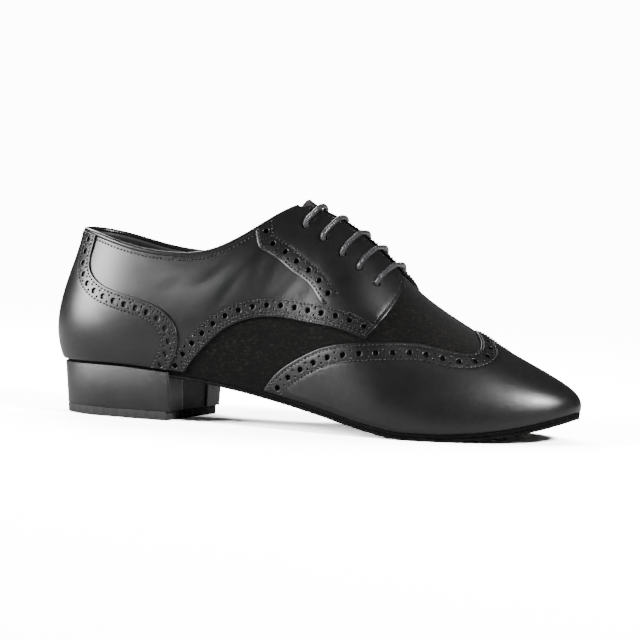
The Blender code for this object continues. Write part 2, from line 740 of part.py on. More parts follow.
def build_tongue():
    """The tongue under the facings, from under the vamp to its round top above the collar."""
    columns = 8
    across = np.linspace(-1, 1, columns + 1)
    lean = np.array([TONGUE_LEAN[0], 0, TONGUE_LEAN[1]])
    tops, lows = [], []
    for along, slide, half, drop in TONGUE_ROWS:
        high = LINING - GAP + (TONGUE_TOP - LINING + GAP) * drop
        angle = np.where(across < 0, -1, 1) * turn(along)
        rim = abs(outside(-turn(along), 1.0)[1])
        far = np.abs(across) * half
        up = np.array([up_at(a, max(f - rim, 0)) for a, f in zip(angle, far)])
        for lift, rows in ((high, tops), (high - TONGUE_THICK, lows)):
            points = skin(angle, up, np.full(len(up), lift))
            points[:, 1] *= np.minimum(far / max(rim, 1e-9), 1)
            rows.append(points + lean * slide)
    count = len(TONGUE_ROWS)
    grid = np.arange(count * (columns + 1)).reshape(count, columns + 1)
    a, b, c, d = (grid[:-1, :-1], grid[:-1, 1:], grid[1:, 1:], grid[1:, :-1])
    faces = np.concatenate([np.stack(v, -1).reshape(-1, 3) for v in ((a, b, c), (a, c, d))])
    points, faces = two_sided(faces, np.concatenate(tops), np.concatenate(lows))
    return add("tongue", points, outward(points, faces), "tongue_suede")


def plan_line(angle, offset):
    """The feather line seen from above, moved out by an offset."""
    step = 1e-4
    ahead = (outside(angle + step, 0) - outside(angle - step, 0))[:, :2]
    ahead /= np.linalg.norm(ahead, axis=1, keepdims=True)
    out = np.stack([-ahead[:, 1], ahead[:, 0]], axis=1)
    return outside(angle, 0)[:, :2] + out * np.asarray(offset)[..., None]


def plate(name, loop, top, bottom, finish, spacing=0.012, shape=None, lines=()):
    """A solid between two heights, given as functions of x and y, within a loop in plan."""
    least, most = loop.min(axis=0), loop.max(axis=0)
    xs = np.arange(least[0] + spacing / 2, most[0], spacing)
    ys = np.arange(least[1] + spacing / 2, most[1], spacing * 1.6)
    extra = np.stack(np.meshgrid(xs, ys, indexing="ij"), axis=-1).reshape(-1, 2)
    extra = extra[inside(extra, loop)]
    extra = extra[distance(extra, loop) > spacing * 0.45]
    for line in lines:
        extra = extra[np.abs(extra[:, 0] - line[0, 0]) > spacing * 0.35]
    places, faces = triangulate([loop], extra, lines)
    sheets = [np.column_stack([places, level(places[:, 0], places[:, 1])]) for level in (top, bottom)]
    if shape:
        sheets = [shape(points) for points in sheets]
    points, faces = two_sided(faces, *sheets)
    return add(name, points, outward(points, faces), finish)


def full_turn():
    half = columns_between(0, 1)
    return np.concatenate([half, -half[::-1][1:-1]])


def sole_edge(angle):
    """How far the sole reaches past the feather line: less at the heel seat, more round the forefoot."""
    return SEAT_EDGE + (SOLE_EDGE - SEAT_EDGE) * smooth((share(np.abs(angle)) - 0.28) / 0.2)


def breast(y):
    """Place of the heel's front face at a distance from the middle. It runs askew, further forward on the inner side."""
    return HEEL_LENGTH + BREAST_SKEW * y


def resample(points, spacing):
    run = np.concatenate([[0], np.cumsum(np.linalg.norm(np.diff(points, axis=0), axis=1))])
    even = np.linspace(0, run[-1], max(2, round(run[-1] / spacing) + 1))
    return np.stack([np.interp(even, run, points[:, i]) for i in (0, 1)], axis=1)


def behind(offset, setback, spacing=0.006):
    """The seat's outline at an offset from the feather line, behind the breast, from the outer side round the back."""
    angle = np.linspace(-turn(0.45), turn(0.45), 401)
    line = plan_line(angle, np.full(len(angle), offset))
    ahead = line[:, 0] - (breast(line[:, 1]) - setback)
    kept = np.flatnonzero(ahead < 0)
    ends = []
    for i, j in ((kept[0] - 1, kept[0]), (kept[-1], kept[-1] + 1)):
        part = ahead[i] / (ahead[i] - ahead[j])
        ends.append(line[i] + (line[j] - line[i]) * part)
    return resample(np.concatenate([[ends[0]], line[kept], [ends[1]]]), spacing)


def tapered(points):
    """A heel piece drawn in towards the ground, with its breast left upright."""
    depth = np.clip(1 - points[:, 2:] / HEEL_HEIGHT, 0, 1)
    front = breast(points[:, 1:2])
    x = front - (front - points[:, 0:1]) * (1 - BACK_TAPER * depth)
    y = points[:, 1:2] * (1 - SIDE_TAPER * depth)
    return np.concatenate([x, y, points[:, 2:]], axis=1)


def build_sole():
    """Insole, leather outsole and the suede layer in front of the heel."""
    angle = full_turn()
    wall = UPPER_WALL + GAP
    plate(
        "insole", plan_line(angle, np.full(len(angle), -wall)),
        lambda x, y: feather_at(x) + INSOLE_THICK, lambda x, y: feather_at(x), "insole_leather",
    )
    plate(
        "outsole", plan_line(angle, sole_edge(angle)),
        lambda x, y: feather_at(x) - GAP, lambda x, y: feather_at(x) - GAP - OUTSOLE_THICK, "outsole_leather",
    )
    across = np.linspace(-1, 1, 7) * BALL_WIDTH
    flat = [np.column_stack([np.full(7, at * LENGTH), across]) for at in (FLAT_START, FLAT_END)]
    fine = np.linspace(-math.pi, math.pi, 1201)
    line = plan_line(fine, sole_edge(fine))
    line = np.roll(line[:-1], 600, axis=0)
    ahead = line[:, 0] > breast(line[:, 1]) + GAP
    kept = np.flatnonzero(ahead)
    front = line[kept]
    front = resample(front, 0.007)
    plate(
        "suede_sole", front,
        lambda x, y: feather_at(x) - STACK + SUEDE_THICK, lambda x, y: feather_at(x) - STACK, "chrome_suede",
        lines=flat,
    )


def build_heel():
    """Heel block, the leather cover wrapped round it, and the top piece that stands on the floor."""
    under_seat = lambda x, y: feather_at(x) - GAP - OUTSOLE_THICK - GAP
    ground = lambda x, y: np.zeros_like(x)
    above_piece = lambda x, y: np.full_like(x, TOP_PIECE + GAP)
    piece_top = lambda x, y: np.full_like(x, TOP_PIECE)
    core = SEAT_EDGE - HEEL_COVER - GAP
    plate("heel_block", behind(core, HEEL_COVER + GAP), under_seat, above_piece, "heel_core", 0.011, tapered)
    outer, inner = behind(SEAT_EDGE, 0), behind(SEAT_EDGE - HEEL_COVER, HEEL_COVER)
    flaps = []
    for end in (outer[-1], outer[0]):
        y = end[1] - math.copysign(COVER_FLAP, end[1])
        flaps.append((np.array([breast(y), y]), np.array([breast(y) - HEEL_COVER, y])))
    cover = np.concatenate([outer, flaps[0], inner[::-1], flaps[1][::-1]])
    plate("heel_cover", cover, under_seat, above_piece, "heel_leather", 0.011, tapered)
    plate("heel_top_piece", behind(SEAT_EDGE, TOP_PIECE_SETBACK), piece_top, ground, "heel_rubber", 0.011, tapered)


def build_laces():
    """One cord: five bars over the facings, joined by its hidden runs under them."""
    def at(hole, side, lift, lane=0.0):
        along, up = LACE_HOLES[hole]
        angle = side * turn(along)
        up = up - lane / SECTION_RUN
        return skin(np.array([angle]), np.array([up]), np.array([lift]))[0]

    def between(first, second, side, part, lane=0.0):
        low = at(first, side, CORD_UNDER, lane)
        high = at(second, side, CORD_UNDER, lane)
        return low + (high - low) * part

    def bar(hole, side):
        """From under one hole, up through it, over the gap and down through the other."""
        along, up = LACE_HOLES[hole]
        halves = []
        for each in (side, -side):
            half = [at(hole, each, CORD_UNDER), at(hole, each, (LINING + TRIM_HIGH) / 2)]
            for part in BAR_STEPS:
                angle = turn(along + BAR_SLANT * math.sin(part * math.pi / 2))
                rise = np.array([up + (facing_edge(angle) - up) * part + BAR_PUSH])
                half.append(skin(np.array([each * angle]), rise, np.array([CORD_OVER + BAR_LIFT]))[0])
            halves.append(half)
        middle = skin(np.array([turn(along + BAR_SLANT)]), np.ones(1), np.array([CORD_OVER]))[0]
        return halves[0] + [middle] + halves[1][::-1]

    lane = LACE_LANE
    path = [between(0, 1, -1, 0.1, lane), between(0, 1, -1, 0.6, lane)]
    path += bar(1, -1) + [between(1, 2, 1, 0.5, lane), at(2, 1, CORD_UNDER, lane), between(2, 3, 1, 0.5, lane)]
    path += bar(3, 1) + [between(3, 4, -1, 0.5)] + bar(4, -1)
    path += [between(4, 3, 1, 0.5, -lane), at(3, 1, CORD_UNDER, -lane), between(3, 2, 1, 0.5, -lane)]
    path += bar(2, 1) + [between(2, 1, -1, 0.5, -lane), at(1, -1, CORD_UNDER, -lane), between(1, 0, -1, 0.5, -lane)]
    path += bar(0, -1) + [between(0, 1, 1, 0.35, -lane)]
    path = np.array(path)
    way = np.concatenate([[0], np.cumsum(np.linalg.norm(np.diff(path, axis=0), axis=1) ** 0.5)])
    fine = np.linspace(0, way[-1], 3000)
    line = np.stack([curve(way, path[:, i])(fine) for i in range(3)], axis=1)
    run = np.linalg.norm(np.diff(line, axis=0), axis=1)
    ahead = np.diff(line, axis=0) / run[:, None]
    bend = np.concatenate([[0], np.arccos(np.clip((ahead[1:] * ahead[:-1]).sum(axis=1), -1, 1))])
    weight = np.concatenate([[0], np.cumsum(run / 0.012 + bend / 0.85)])
    count = round(weight[-1]) + 1
    even = np.interp(np.linspace(0, weight[-1], count), weight, fine)
    line = np.stack([curve(way, path[:, i])(even) for i in range(3)], axis=1)
    body, faces = tube(line, CORD / 2, CORD_SIDES)
    return add("laces", body, faces, "waxed_cord")


def main():
    for found in list(bpy.data.objects):
        bpy.data.objects.remove(found, do_unlink=True)
    build_upper()
    build_quarters()
    build_facing("facing_outer", -1)
    build_facing("facing_inner", 1)
    build_counter()
    build_wing_cap()
    build_binding()
    build_tongue()
    build_sole()
    build_heel()
    build_laces()


if __name__ == "__main__":
    main()
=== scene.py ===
"""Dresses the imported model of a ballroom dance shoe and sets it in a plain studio.

The leather, suede and sole pieces are worked out again on the model's own skin, at a finer pitch:
a turn round the feather line (where the upper meets the sole) and a share of the way up to the rim.
Brogue holes, stitch rows, rolled edges and laces lie on that skin too. Lengths are in metres.
"""

import math

import bpy
import numpy as np
from bpy.props import FloatProperty, FloatVectorProperty, PointerProperty
from mathutils import Matrix, Vector
from mathutils.geometry import delaunay_2d_cdt


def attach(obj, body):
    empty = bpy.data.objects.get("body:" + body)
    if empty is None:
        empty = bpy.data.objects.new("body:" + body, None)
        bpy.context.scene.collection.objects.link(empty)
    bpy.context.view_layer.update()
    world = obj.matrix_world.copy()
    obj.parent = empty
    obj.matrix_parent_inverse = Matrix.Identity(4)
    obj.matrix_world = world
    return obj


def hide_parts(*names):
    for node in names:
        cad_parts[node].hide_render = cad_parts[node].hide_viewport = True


bl_info = {
    "name": "Ballroom dance shoe",
    "version": (1, 0, 0),
    "blender": (4, 5, 0),
    "location": "View3D > Sidebar > Shoe",
    "description": "Leather, suede, broguing, stitches, laces and studio for a ballroom dance shoe",
    "category": "Object",
}

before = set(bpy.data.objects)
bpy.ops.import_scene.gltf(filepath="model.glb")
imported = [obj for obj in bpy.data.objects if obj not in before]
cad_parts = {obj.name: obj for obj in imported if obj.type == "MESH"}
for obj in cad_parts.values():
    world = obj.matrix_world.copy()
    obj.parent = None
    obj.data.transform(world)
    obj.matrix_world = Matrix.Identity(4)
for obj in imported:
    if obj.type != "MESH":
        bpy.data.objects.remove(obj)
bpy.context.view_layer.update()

# Sizes of the last, the upper, the sole and the laces, as in the model. The lace holes are smaller here,
# the bars lie closer to the leather, and the facings stand FACING_STEP over the quarters.
LENGTH = 0.294
BALL_WIDTH = 0.091
INSTEP_HEIGHT = 0.121
TOE_SPRING = 0.0123
SWING = 0.0035
GAP = 0.0003
LAYER_GAP = 0.0004
UPPER_WALL = 0.0016
PANEL = 0.0010
TRIM = 0.0008
FACING_GAP = 0.0070
BINDING_THICK = 0.0020
TONGUE_THICK = 0.0016
INSOLE_THICK = 0.0020
OUTSOLE_THICK = 0.0023
SUEDE_THICK = 0.0013
SOLE_EDGE = 0.0011
SEAT_EDGE = 0.0015
HEEL_HEIGHT = 0.0273
TOP_PIECE = 0.0050
HEEL_LENGTH = 0.0772
BREAST_SKEW = 0.110
HEEL_COVER = 0.0010
COVER_FLAP = 0.0165
TOP_PIECE_SETBACK = 0.0020
BACK_TAPER = 0.030
SIDE_TAPER = 0.110
CORD = 0.0025
LACE_HOLE = 0.0036
LACE_LANE = 0.0030
BAR_LIFT = 0.0001
BAR_SINK = 0.0013
SECTION_RUN = 0.085
BAR_PUSH = 0.02
BAR_STEPS = (0.0, 0.35, 0.70)
BAR_SLANT = 0.012
FACING_STEP = 0.0008

HEEL_CENTRE = HEEL_LENGTH / 2
STACK = SUEDE_THICK + GAP + OUTSOLE_THICK + GAP
SEAT = HEEL_HEIGHT + GAP + OUTSOLE_THICK + GAP
LINING = -UPPER_WALL
PANEL_HIGH = LAYER_GAP + PANEL
TRIM_HIGH = PANEL_HIGH + LAYER_GAP + TRIM
FACING_HIGH = PANEL_HIGH + FACING_STEP
CORD_OVER = FACING_HIGH + GAP + CORD / 2
CORD_UNDER = LINING - GAP - CORD / 2
TONGUE_TOP = CORD_UNDER - CORD / 2 - 2 * GAP
EDGE_HALF = FACING_GAP / 2

# Feather line: along, outer half width and inner half width as shares of the ball width.
PLAN = np.array([
    (0.00, 0.000, 0.000), (0.03, 0.203, 0.203), (0.08, 0.291, 0.291), (0.16, 0.335, 0.324),
    (0.25, 0.346, 0.319), (0.36, 0.346, 0.280), (0.46, 0.379, 0.286), (0.56, 0.440, 0.374),
    (0.66, 0.495, 0.473), (0.74, 0.500, 0.505), (0.82, 0.451, 0.467), (0.90, 0.352, 0.363),
    (0.96, 0.231, 0.236), (1.00, 0.000, 0.000),
])

# Side line: along, share of the heel's rise, share of the toe spring.
PROFILE = np.array([
    (0.00, 1.000, 0.00), (0.08, 1.004, 0.00), (0.16, 0.996, 0.00), (0.25, 0.927, 0.00),
    (0.36, 0.788, 0.00), (0.46, 0.592, 0.00), (0.56, 0.362, 0.00), (0.66, 0.100, 0.00),
    (0.72, 0.000, 0.00), (0.78, 0.000, 0.00), (0.84, 0.000, 0.10), (0.90, 0.000, 0.31),
    (0.96, 0.000, 0.67), (1.00, 0.000, 1.00),
])

# Rim: along, place of the rim as a share of the length, outer and inner half width, height.
RIM = np.array([
    (0.00, 0.0352, 0.000, 0.000, 0.847), (0.03, 0.0465, 0.132, 0.132, 0.842),
    (0.08, 0.0880, 0.220, 0.220, 0.820), (0.16, 0.1580, 0.280, 0.280, 0.776),
    (0.25, 0.2449, 0.297, 0.297, 0.751), (0.33, 0.3265, 0.275, 0.275, 0.777),
    (0.40, 0.4014, 0.187, 0.187, 0.883), (0.46, 0.4694, 0.055, 0.055, 0.987),
    (0.52, 0.5238, 0.000, 0.000, 0.957), (0.60, 0.5986, 0.000, 0.000, 0.837),
    (0.70, 0.6973, 0.000, 0.000, 0.629), (0.78, 0.7755, 0.000, 0.000, 0.505),
    (0.85, 0.8223, 0.000, 0.000, 0.436), (0.92, 0.8473, 0.000, 0.000, 0.397),
    (1.00, 0.8673, 0.000, 0.000, 0.371),
])
RIDGE_START = 0.52
RIDGE_SOFT = 0.08

# Section: along, bulge at the foot, its share of the height, reach and dip of the top.
SECTION = np.array([
    (0.00, 0.124, 0.34, 0.10, 0.30), (0.08, 0.126, 0.35, 0.10, 0.30),
    (0.16, 0.102, 0.35, 0.10, 0.30), (0.25, 0.077, 0.40, 0.12, 0.30),
    (0.33, 0.066, 0.45, 0.25, 0.30), (0.40, 0.066, 0.50, 0.35, 0.25),
    (0.46, 0.066, 0.50, 0.45, 0.18), (0.52, 0.066, 0.50, 0.50, 0.05),
    (0.60, 0.066, 0.50, 0.55, 0.00), (0.70, 0.052, 0.43, 0.51, 0.00),
    (0.80, 0.028, 0.34, 0.63, 0.00), (0.90, 0.020, 0.36, 0.79, 0.00),
    (1.00, 0.020, 0.34, 0.84, 0.00),
])
HEEL_FAN = 0.116
TOE_FAN = 0.867
FAN_SOFT = 0.041
SWING_START = 0.45

# Edges of the panels on the skin: along, share of the way up.
COUNTER_EDGE = [
    (0.068, 1.000), (0.066, 0.880), (0.067, 0.770), (0.075, 0.706), (0.101, 0.630),
    (0.147, 0.588), (0.210, 0.540), (0.248, 0.459), (0.269, 0.324), (0.272, 0.190),
    (0.262, 0.090), (0.250, 0.000),
]
QUARTER_EDGE = [
    (0.639, 0.366), (0.589, 0.335), (0.533, 0.304), (0.469, 0.304), (0.429, 0.318),
    (0.391, 0.326), (0.357, 0.296), (0.333, 0.233), (0.306, 0.132), (0.280, 0.000),
]
FACING_FRONT = [
    (0.660, None), (0.669, 0.920), (0.677, 0.850), (0.679, 0.740), (0.668, 0.560),
    (0.655, 0.460), (0.639, 0.366),
]
FACING_REAR = [
    (0.396, 1.000), (0.401, 0.905), (0.408, 0.815), (0.427, 0.705), (0.459, 0.571),
    (0.487, 0.501), (0.521, 0.456), (0.541, 0.417), (0.556, 0.392),
]
FACING_FOOT = [(0.556, 0.392), (0.585, 0.411), (0.618, 0.438), (0.6530, 0.462)]
WING_EDGE = [
    (0.443, 0.000), (0.458, 0.048), (0.483, 0.104), (0.519, 0.164), (0.559, 0.226),
    (0.599, 0.283), (0.636, 0.344), (0.666, 0.403), (0.699, 0.475), (0.730, 0.540),
    (0.758, 0.578), (0.791, 0.613), (0.822, 0.656), (0.845, 0.748), (0.846, 0.842),
    (0.834, 0.925), (0.818, 1.000),
]
TACK = [
    [(0.606, 0.408), (0.620, 0.416), (0.634, 0.424)], [(0.603, 0.428), (0.617, 0.436), (0.631, 0.444)],
    [(0.604, 0.410), (0.603, 0.418), (0.602, 0.427)], [(0.636, 0.424), (0.634, 0.434), (0.632, 0.444)],
]
COLLAR_END = 0.455
THROAT_TOP = 0.475
THROAT_END = 0.668

# Rows beside each brogued edge: how far the stitch rows and the large holes' centres lie from it.
COUNTER_ROWS = {"holes": 0.0053, "last": 0.0087}
QUARTER_ROWS = {"first": 0.0012, "second": 0.0028, "holes": 0.0062}
FACING_ROWS = {"first": -0.0015, "holes": -0.0056, "last": -0.0090}
WING_ROWS = {"first": 0.0016, "holes": 0.0058, "last": 0.0096}
THROAT_ROW = 0.0020
COLLAR_ROW = 0.0024
PIN_APART = 0.0038
WING_PIN_APART = 0.0036

# Lace holes from the top: along, share of the way up.
LACE_HOLES = [(0.482, 0.794), (0.527, 0.712), (0.570, 0.678), (0.604, 0.671), (0.639, 0.673)]

# Tongue: along the ridge, slide up and back, half width, share of the way down from the lining to the
# laces' underside, crest in the throat, sag.
TONGUE_ROWS = np.array([
    (0.740, 0, 0.0160, 0.00, 0, 0), (0.715, 0, 0.0200, 0.10, 0, 0), (0.690, 0, 0.0230, 0.55, 0, 0),
    (0.665, 0, 0.0250, 1, 0, 0), (0.640, 0, 0.0260, 1, 0, 0), (0.610, 0, 0.0260, 1, 0, 0),
    (0.575, 0, 0.0250, 1, 0, 0), (0.545, 0, 0.0240, 1, 0.0010, 0), (0.520, 0, 0.0210, 1, 0.0036, 0),
    (0.500, 0, 0.0180, 1, 0.0056, 0), (0.482, 0, 0.0155, 1, 0.0064, 0),
    (0.482, 0.0020, 0.0145, 1, 0.0063, 0), (0.482, 0.0040, 0.0125, 1, 0.0050, -0.0001),
    (0.482, 0.0057, 0.0095, 1, 0.0030, -0.0006), (0.482, 0.0075, 0.0065, 1, 0.0012, -0.0016),
    (0.482, 0.0090, 0.0040, 1, 0, -0.0034),
])
CREST_HALF = 0.0024
CREST_SIDE = 0.0014
TONGUE_ROUND = 0.0005
TONGUE_LEAN = np.array([-0.72, 0, 0.694])

# Pitch of the fine lattice round the shoe and its squares up a section.
LATTICE = 0.0019
ROWS = 42
BODY = "root"

# Spacing of an edge's points, longest step of an inset, step for a slope, and points handled at a time.
EDGE_SPACING = 0.0015
INSET_STEP = 0.0012
NUDGE = 1e-4
BLOCK = 4000

# Edges: radius and depth of their rounding and of a stitch row's dip, the rounding's middle step (in
# and down, as shares of the radius), the flats kept beside an edge, a row and a hole, how near the
# lattice's points come to them, and how many squares from its first point a hole can reach.
RIM_ROUND = 0.0003
ROW_DIP = 0.00010
ROUND_STEP = (0.3, 0.286)
EDGE_FLAT = 0.0003
ROW_FLAT = 0.0005
HOLE_FLAT = 0.00022
CLEAR = 0.00095
HOLE_REACH = 12

# Sides of a large hole, a pinhole and a tube.
LARGE_SIDES = 14
PIN_SIDES = 8
TUBE_SIDES = 16

# How far a piece laid on another keeps from it, how deep the thread lies in a piece, how high the bar
# tack lies on one, how deep the facing's back lies, and how the facing thins: width and depth.
LAID_ON = 0.00005
THREAD_DIP = 0.00008
TACK_LIFT = 0.0002
FACING_BACK = 0.0007
FOOT_THINS = (0.0045, 0.0008)
REAR_THINS = (0.0016, 0.0003)

# Binding: radius, shift outward, and how far its middle lies below the model's.
BINDING_RADIUS = 0.00160
BINDING_SHIFT = 0.0006
BINDING_SINK = 0.0004

# Sole and heel: pitch of their points in plan, spacing of their outlines, ragged edges, and how far the
# cover ends below the feather line and reaches above the seat.
SLAB_PITCH = 0.004
SEAT_SPACING = 0.0012
SUEDE_RAGGED = 0.0005
TOP_RAGGED = 0.0006
COVER_GAP = 0.0015
COVER_LIFT = 0.0002

# Cord: spacing of its rings, and the strands of its braid round it and along a metre.
CORD_STEP = 0.0009
STRANDS = 6.0
STRAND_TURNS = 620.0

# Leather and floor: the patch noise's range and what it adds to the roughness, the floor's brightness to
# the camera and in reflections, where it fades into the backdrop, and half its side.
PATCH_RANGE = (0.2, 0.8)
GLOSS_SPREAD = 0.05
FLOOR_SEEN = 4.6
FLOOR_MIRRORED = 0.28
FLOOR_FADE = (0.35, 1.3)
FLOOR_HALF = 6

# Lamps: name, place, width and height.
LAMPS = [
    ("key", (-1.26, -0.78, 0.62), 0.85, 0.85), ("top", (0.1, 0.95, 1.35), 1.8, 0.9),
    ("front", (1.15, -0.45, 0.80), 0.26, 0.24), ("rim", (-0.75, 0.80, 0.95), 0.6, 0.5),
]

# Camera: the point it looks at, pixels per millimetre there, the picture's side and its shift in
# pixels, and the sensor's width in millimetres.
AIM = (0.1094, 0, 0.055)
PIXELS_PER_MM = 1.817
PICTURE = 640
SHIFT = (2.0, 5.8)
SENSOR = 36


def curve(xs, ys, level=False):
    """A cubic spline through the points, as a function. Its ends are level, or free of bending."""
    xs, ys = np.asarray(xs, float), np.asarray(ys, float)
    step = np.diff(xs)
    slope = np.diff(ys) / step
    count = len(xs)
    system, right = np.zeros((count, count)), np.zeros(count)
    for i in range(1, count - 1):
        system[i, i - 1 : i + 2] = step[i - 1], 2 * (step[i - 1] + step[i]), step[i]
        right[i] = 6 * (slope[i] - slope[i - 1])
    system[0, 0] = system[-1, -1] = 1
    if level:
        system[0, :2] = 2 * step[0], step[0]
        system[-1, -2:] = step[-1], 2 * step[-1]
        right[0], right[-1] = 6 * slope[0], -6 * slope[-1]
    bend = np.linalg.solve(system, right)

    def at(x):
        x = np.clip(x, xs[0], xs[-1])
        i = np.clip(np.searchsorted(xs, x) - 1, 0, count - 2)
        far = (x - xs[i]) / step[i]
        near = 1 - far
        return near * ys[i] + far * ys[i + 1] + (
            (near**3 - near) * bend[i] + (far**3 - far) * bend[i + 1]
        ) * step[i] ** 2 / 6

    return at


def turn(along):
    """The turn round the feather line at a share of the length, 0 at the heel and pi at the toe."""
    return np.arccos(1 - 2 * np.clip(along, 0, 1))


def share(angle):
    return (1 - np.cos(angle)) / 2


def of_turn(table, column, level=False):
    return curve(turn(table[:, 0]), table[:, column], level)


plan_outer, plan_inner = of_turn(PLAN, 1), of_turn(PLAN, 2)
heel_rise, toe_rise = of_turn(PROFILE, 1, True), of_turn(PROFILE, 2, True)
rim_place, rim_height = of_turn(RIM, 1, True), of_turn(RIM, 4, True)
rim_outer, rim_inner = of_turn(RIM, 2), of_turn(RIM, 3)
ridge_rows = RIM[RIM[:, 0] >= RIDGE_START]
ridge_height = curve(ridge_rows[:, 1], ridge_rows[:, 4])
bulge, bulge_up, reach, dip = (of_turn(SECTION, i, True) for i in (1, 2, 3, 4))


def smooth(value):
    value = np.clip(value, 0, 1)
    return value * value * (3 - 2 * value)


def feather_height(along):
    """Height of the feather line: the seat at the heel, the stack at the ball, then the toe spring."""
    angle = turn(along)
    rise = np.maximum(heel_rise(angle), 0) * (SEAT - STACK)
    return STACK + rise + np.maximum(toe_rise(angle), 0) * TOE_SPRING


def feather_at(x):
    return feather_height(np.clip(x / LENGTH, 0, 1))


def fan_centre(x):
    """Place along the middle that the section at x runs to, held between heel and toe centres."""
    soft = FAN_SOFT * LENGTH
    low = HEEL_FAN * LENGTH + soft * np.logaddexp(0, (x - HEEL_FAN * LENGTH) / soft)
    return TOE_FAN * LENGTH - soft * np.logaddexp(0, (TOE_FAN * LENGTH - low) / soft)


def swing(x):
    """How far the last's middle lies to the inner side at a place along the shoe."""
    return SWING * smooth((x / LENGTH - SWING_START) / (1 - SWING_START))


def outside(angle, up):
    """Points of the skin: each section is a cubic Bezier curve from the feather line to the rim."""
    angle = (np.asarray(angle, float) + math.pi) % (2 * math.pi) - math.pi
    up = np.asarray(up, float)
    side = np.where(angle < 0, -1.0, 1.0)
    angle = np.abs(angle)
    x0 = LENGTH * share(angle)
    y0 = side * np.where(side < 0, plan_outer(angle), plan_inner(angle)) * BALL_WIDTH
    z0 = feather_height(share(angle))
    place = rim_place(angle)
    x3 = place * LENGTH
    y3 = side * np.where(side < 0, rim_outer(angle), rim_inner(angle)) * BALL_WIDTH
    y3 = np.where(share(angle) > RIDGE_START, 0, y3)
    on_ridge = smooth((share(angle) - RIDGE_START) / RIDGE_SOFT)
    z3 = (rim_height(angle) * (1 - on_ridge) + ridge_height(place) * on_ridge) * INSTEP_HEIGHT
    slope = (ridge_height(place) - ridge_height(place - 1e-3)) / 1e-3
    slope *= on_ridge * INSTEP_HEIGHT / LENGTH
    ex, ey = x0 - fan_centre(x0), y0
    half = np.hypot(ex, ey)
    ex, ey = ex / np.maximum(half, 1e-9), ey / np.maximum(half, 1e-9)
    tall = z3 - z0
    out = bulge(angle) * BALL_WIDTH
    inward = reach(angle) * half
    foot = (x0 + ex * out, y0 + ey * out, z0 + bulge_up(angle) * tall)
    top = (x3 + ex * inward, y3 + ey * inward, z3 + slope * ex * inward - dip(angle) * tall)
    a, b, c, d = (1 - up) ** 3, 3 * (1 - up) ** 2 * up, 3 * (1 - up) * up**2, up**3
    x = a * x0 + b * foot[0] + c * top[0] + d * x3
    y = a * y0 + b * foot[1] + c * top[1] + d * y3
    z = a * z0 + b * foot[2] + c * top[2] + d * z3
    return np.stack([x, y + swing(x), z], axis=-1)


def unit(vectors):
    return vectors / np.maximum(np.linalg.norm(vectors, axis=-1, keepdims=True), 1e-12)


def directions(angle, up):
    """Unit vectors at points of the skin: round the shoe, up the section and outward."""
    held = np.minimum(up, 0.985)
    around = outside(angle + NUDGE, held) - outside(angle - NUDGE, held)
    rise = outside(angle, np.minimum(up + NUDGE, 1)) - outside(angle, np.maximum(up - NUDGE, 0))
    out = np.cross(rise, around)
    ridge = (up > 0.999) & (share(angle) > RIDGE_START)
    out[..., 1] = np.where(ridge, 0, out[..., 1])
    return unit(around), unit(rise), unit(out)


def skin(angle, up, lift):
    """Points at a distance outward from the skin. The lowest row is kept level with the feather line."""
    angle, up = np.asarray(angle, float), np.asarray(up, float)
    points = outside(angle, up) + directions(angle, up)[2] * np.asarray(lift)[..., None]
    level = feather_at(points[..., 0])
    points[..., 2] = np.where(up <= 0, level, np.maximum(points[..., 2], level))
    return points


def lattice_columns():
    """The lattice's columns: a function from turn to column, and how many there are."""
    fine = np.linspace(0, math.pi, 2001)
    line = np.stack([LENGTH * share(fine), plan_outer(fine) * BALL_WIDTH], axis=1)
    run = np.linalg.norm(np.diff(line, axis=0), axis=1)
    count = np.concatenate([[0], np.cumsum(run / LATTICE)])
    total = round(count[-1])
    return fine, count * total / count[-1], total


TURNS, COUNTS, TOTAL = lattice_columns()


def to_plane(angle, up):
    """The lattice's plane, where each square is 1 by 1."""
    angle = np.asarray(angle, float)
    fold = np.abs(angle)
    past = fold > math.pi
    column = np.interp(np.where(past, 2 * math.pi - fold, fold), TURNS, COUNTS)
    column = np.where(past, 2 * TOTAL - column, column)
    return np.stack([np.sign(angle) * column, np.asarray(up, float) * ROWS], axis=-1)


def from_plane(points):
    column = np.abs(points[:, 0])
    past = column > TOTAL
    fold = np.interp(np.where(past, 2 * TOTAL - column, column), COUNTS, TURNS)
    fold = np.where(past, 2 * math.pi - fold, fold)
    return np.sign(points[:, 0]) * fold, points[:, 1] / ROWS


def inside(points, polygon):
    """Which points lie inside the polygon, by crossings of a level ray, in blocks of points."""
    x0, y0 = polygon[:, 0], polygon[:, 1]
    x1, y1 = np.roll(x0, -1), np.roll(y0, -1)
    tall = np.where(y1 == y0, 1, y1 - y0)
    found = []
    for block in np.array_split(points, len(points) // BLOCK + 1):
        x, y = block[:, 0:1], block[:, 1:2]
        crosses = (y0 > y) != (y1 > y)
        found.append((crosses & (x < x0 + (y - y0) / tall * (x1 - x0))).sum(axis=1) % 2 == 1)
    return np.concatenate(found)


def nearest(points, others):
    """The squared distance of each point from the nearest of the others, in blocks of points."""
    found = []
    squares = (others**2).sum(axis=1)
    for block in np.array_split(points, len(points) // BLOCK + 1):
        apart = (block**2).sum(axis=1)[:, None] + squares - 2 * block @ others.T
        found.append(apart.min(axis=1))
    return np.concatenate(found)


def near(points, others, limit):
    return nearest(points, others) < limit**2


def distance_to(points, others):
    return np.sqrt(np.maximum(nearest(points, others), 0))


def run_of(points):
    """How far along a line each of its points lies."""
    return np.concatenate([[0], np.cumsum(np.linalg.norm(np.diff(points, axis=0), axis=1))])


def read(points, run, places):
    """The points of a line at places along its run."""
    return np.stack([np.interp(places, run, column) for column in points.T], axis=1)


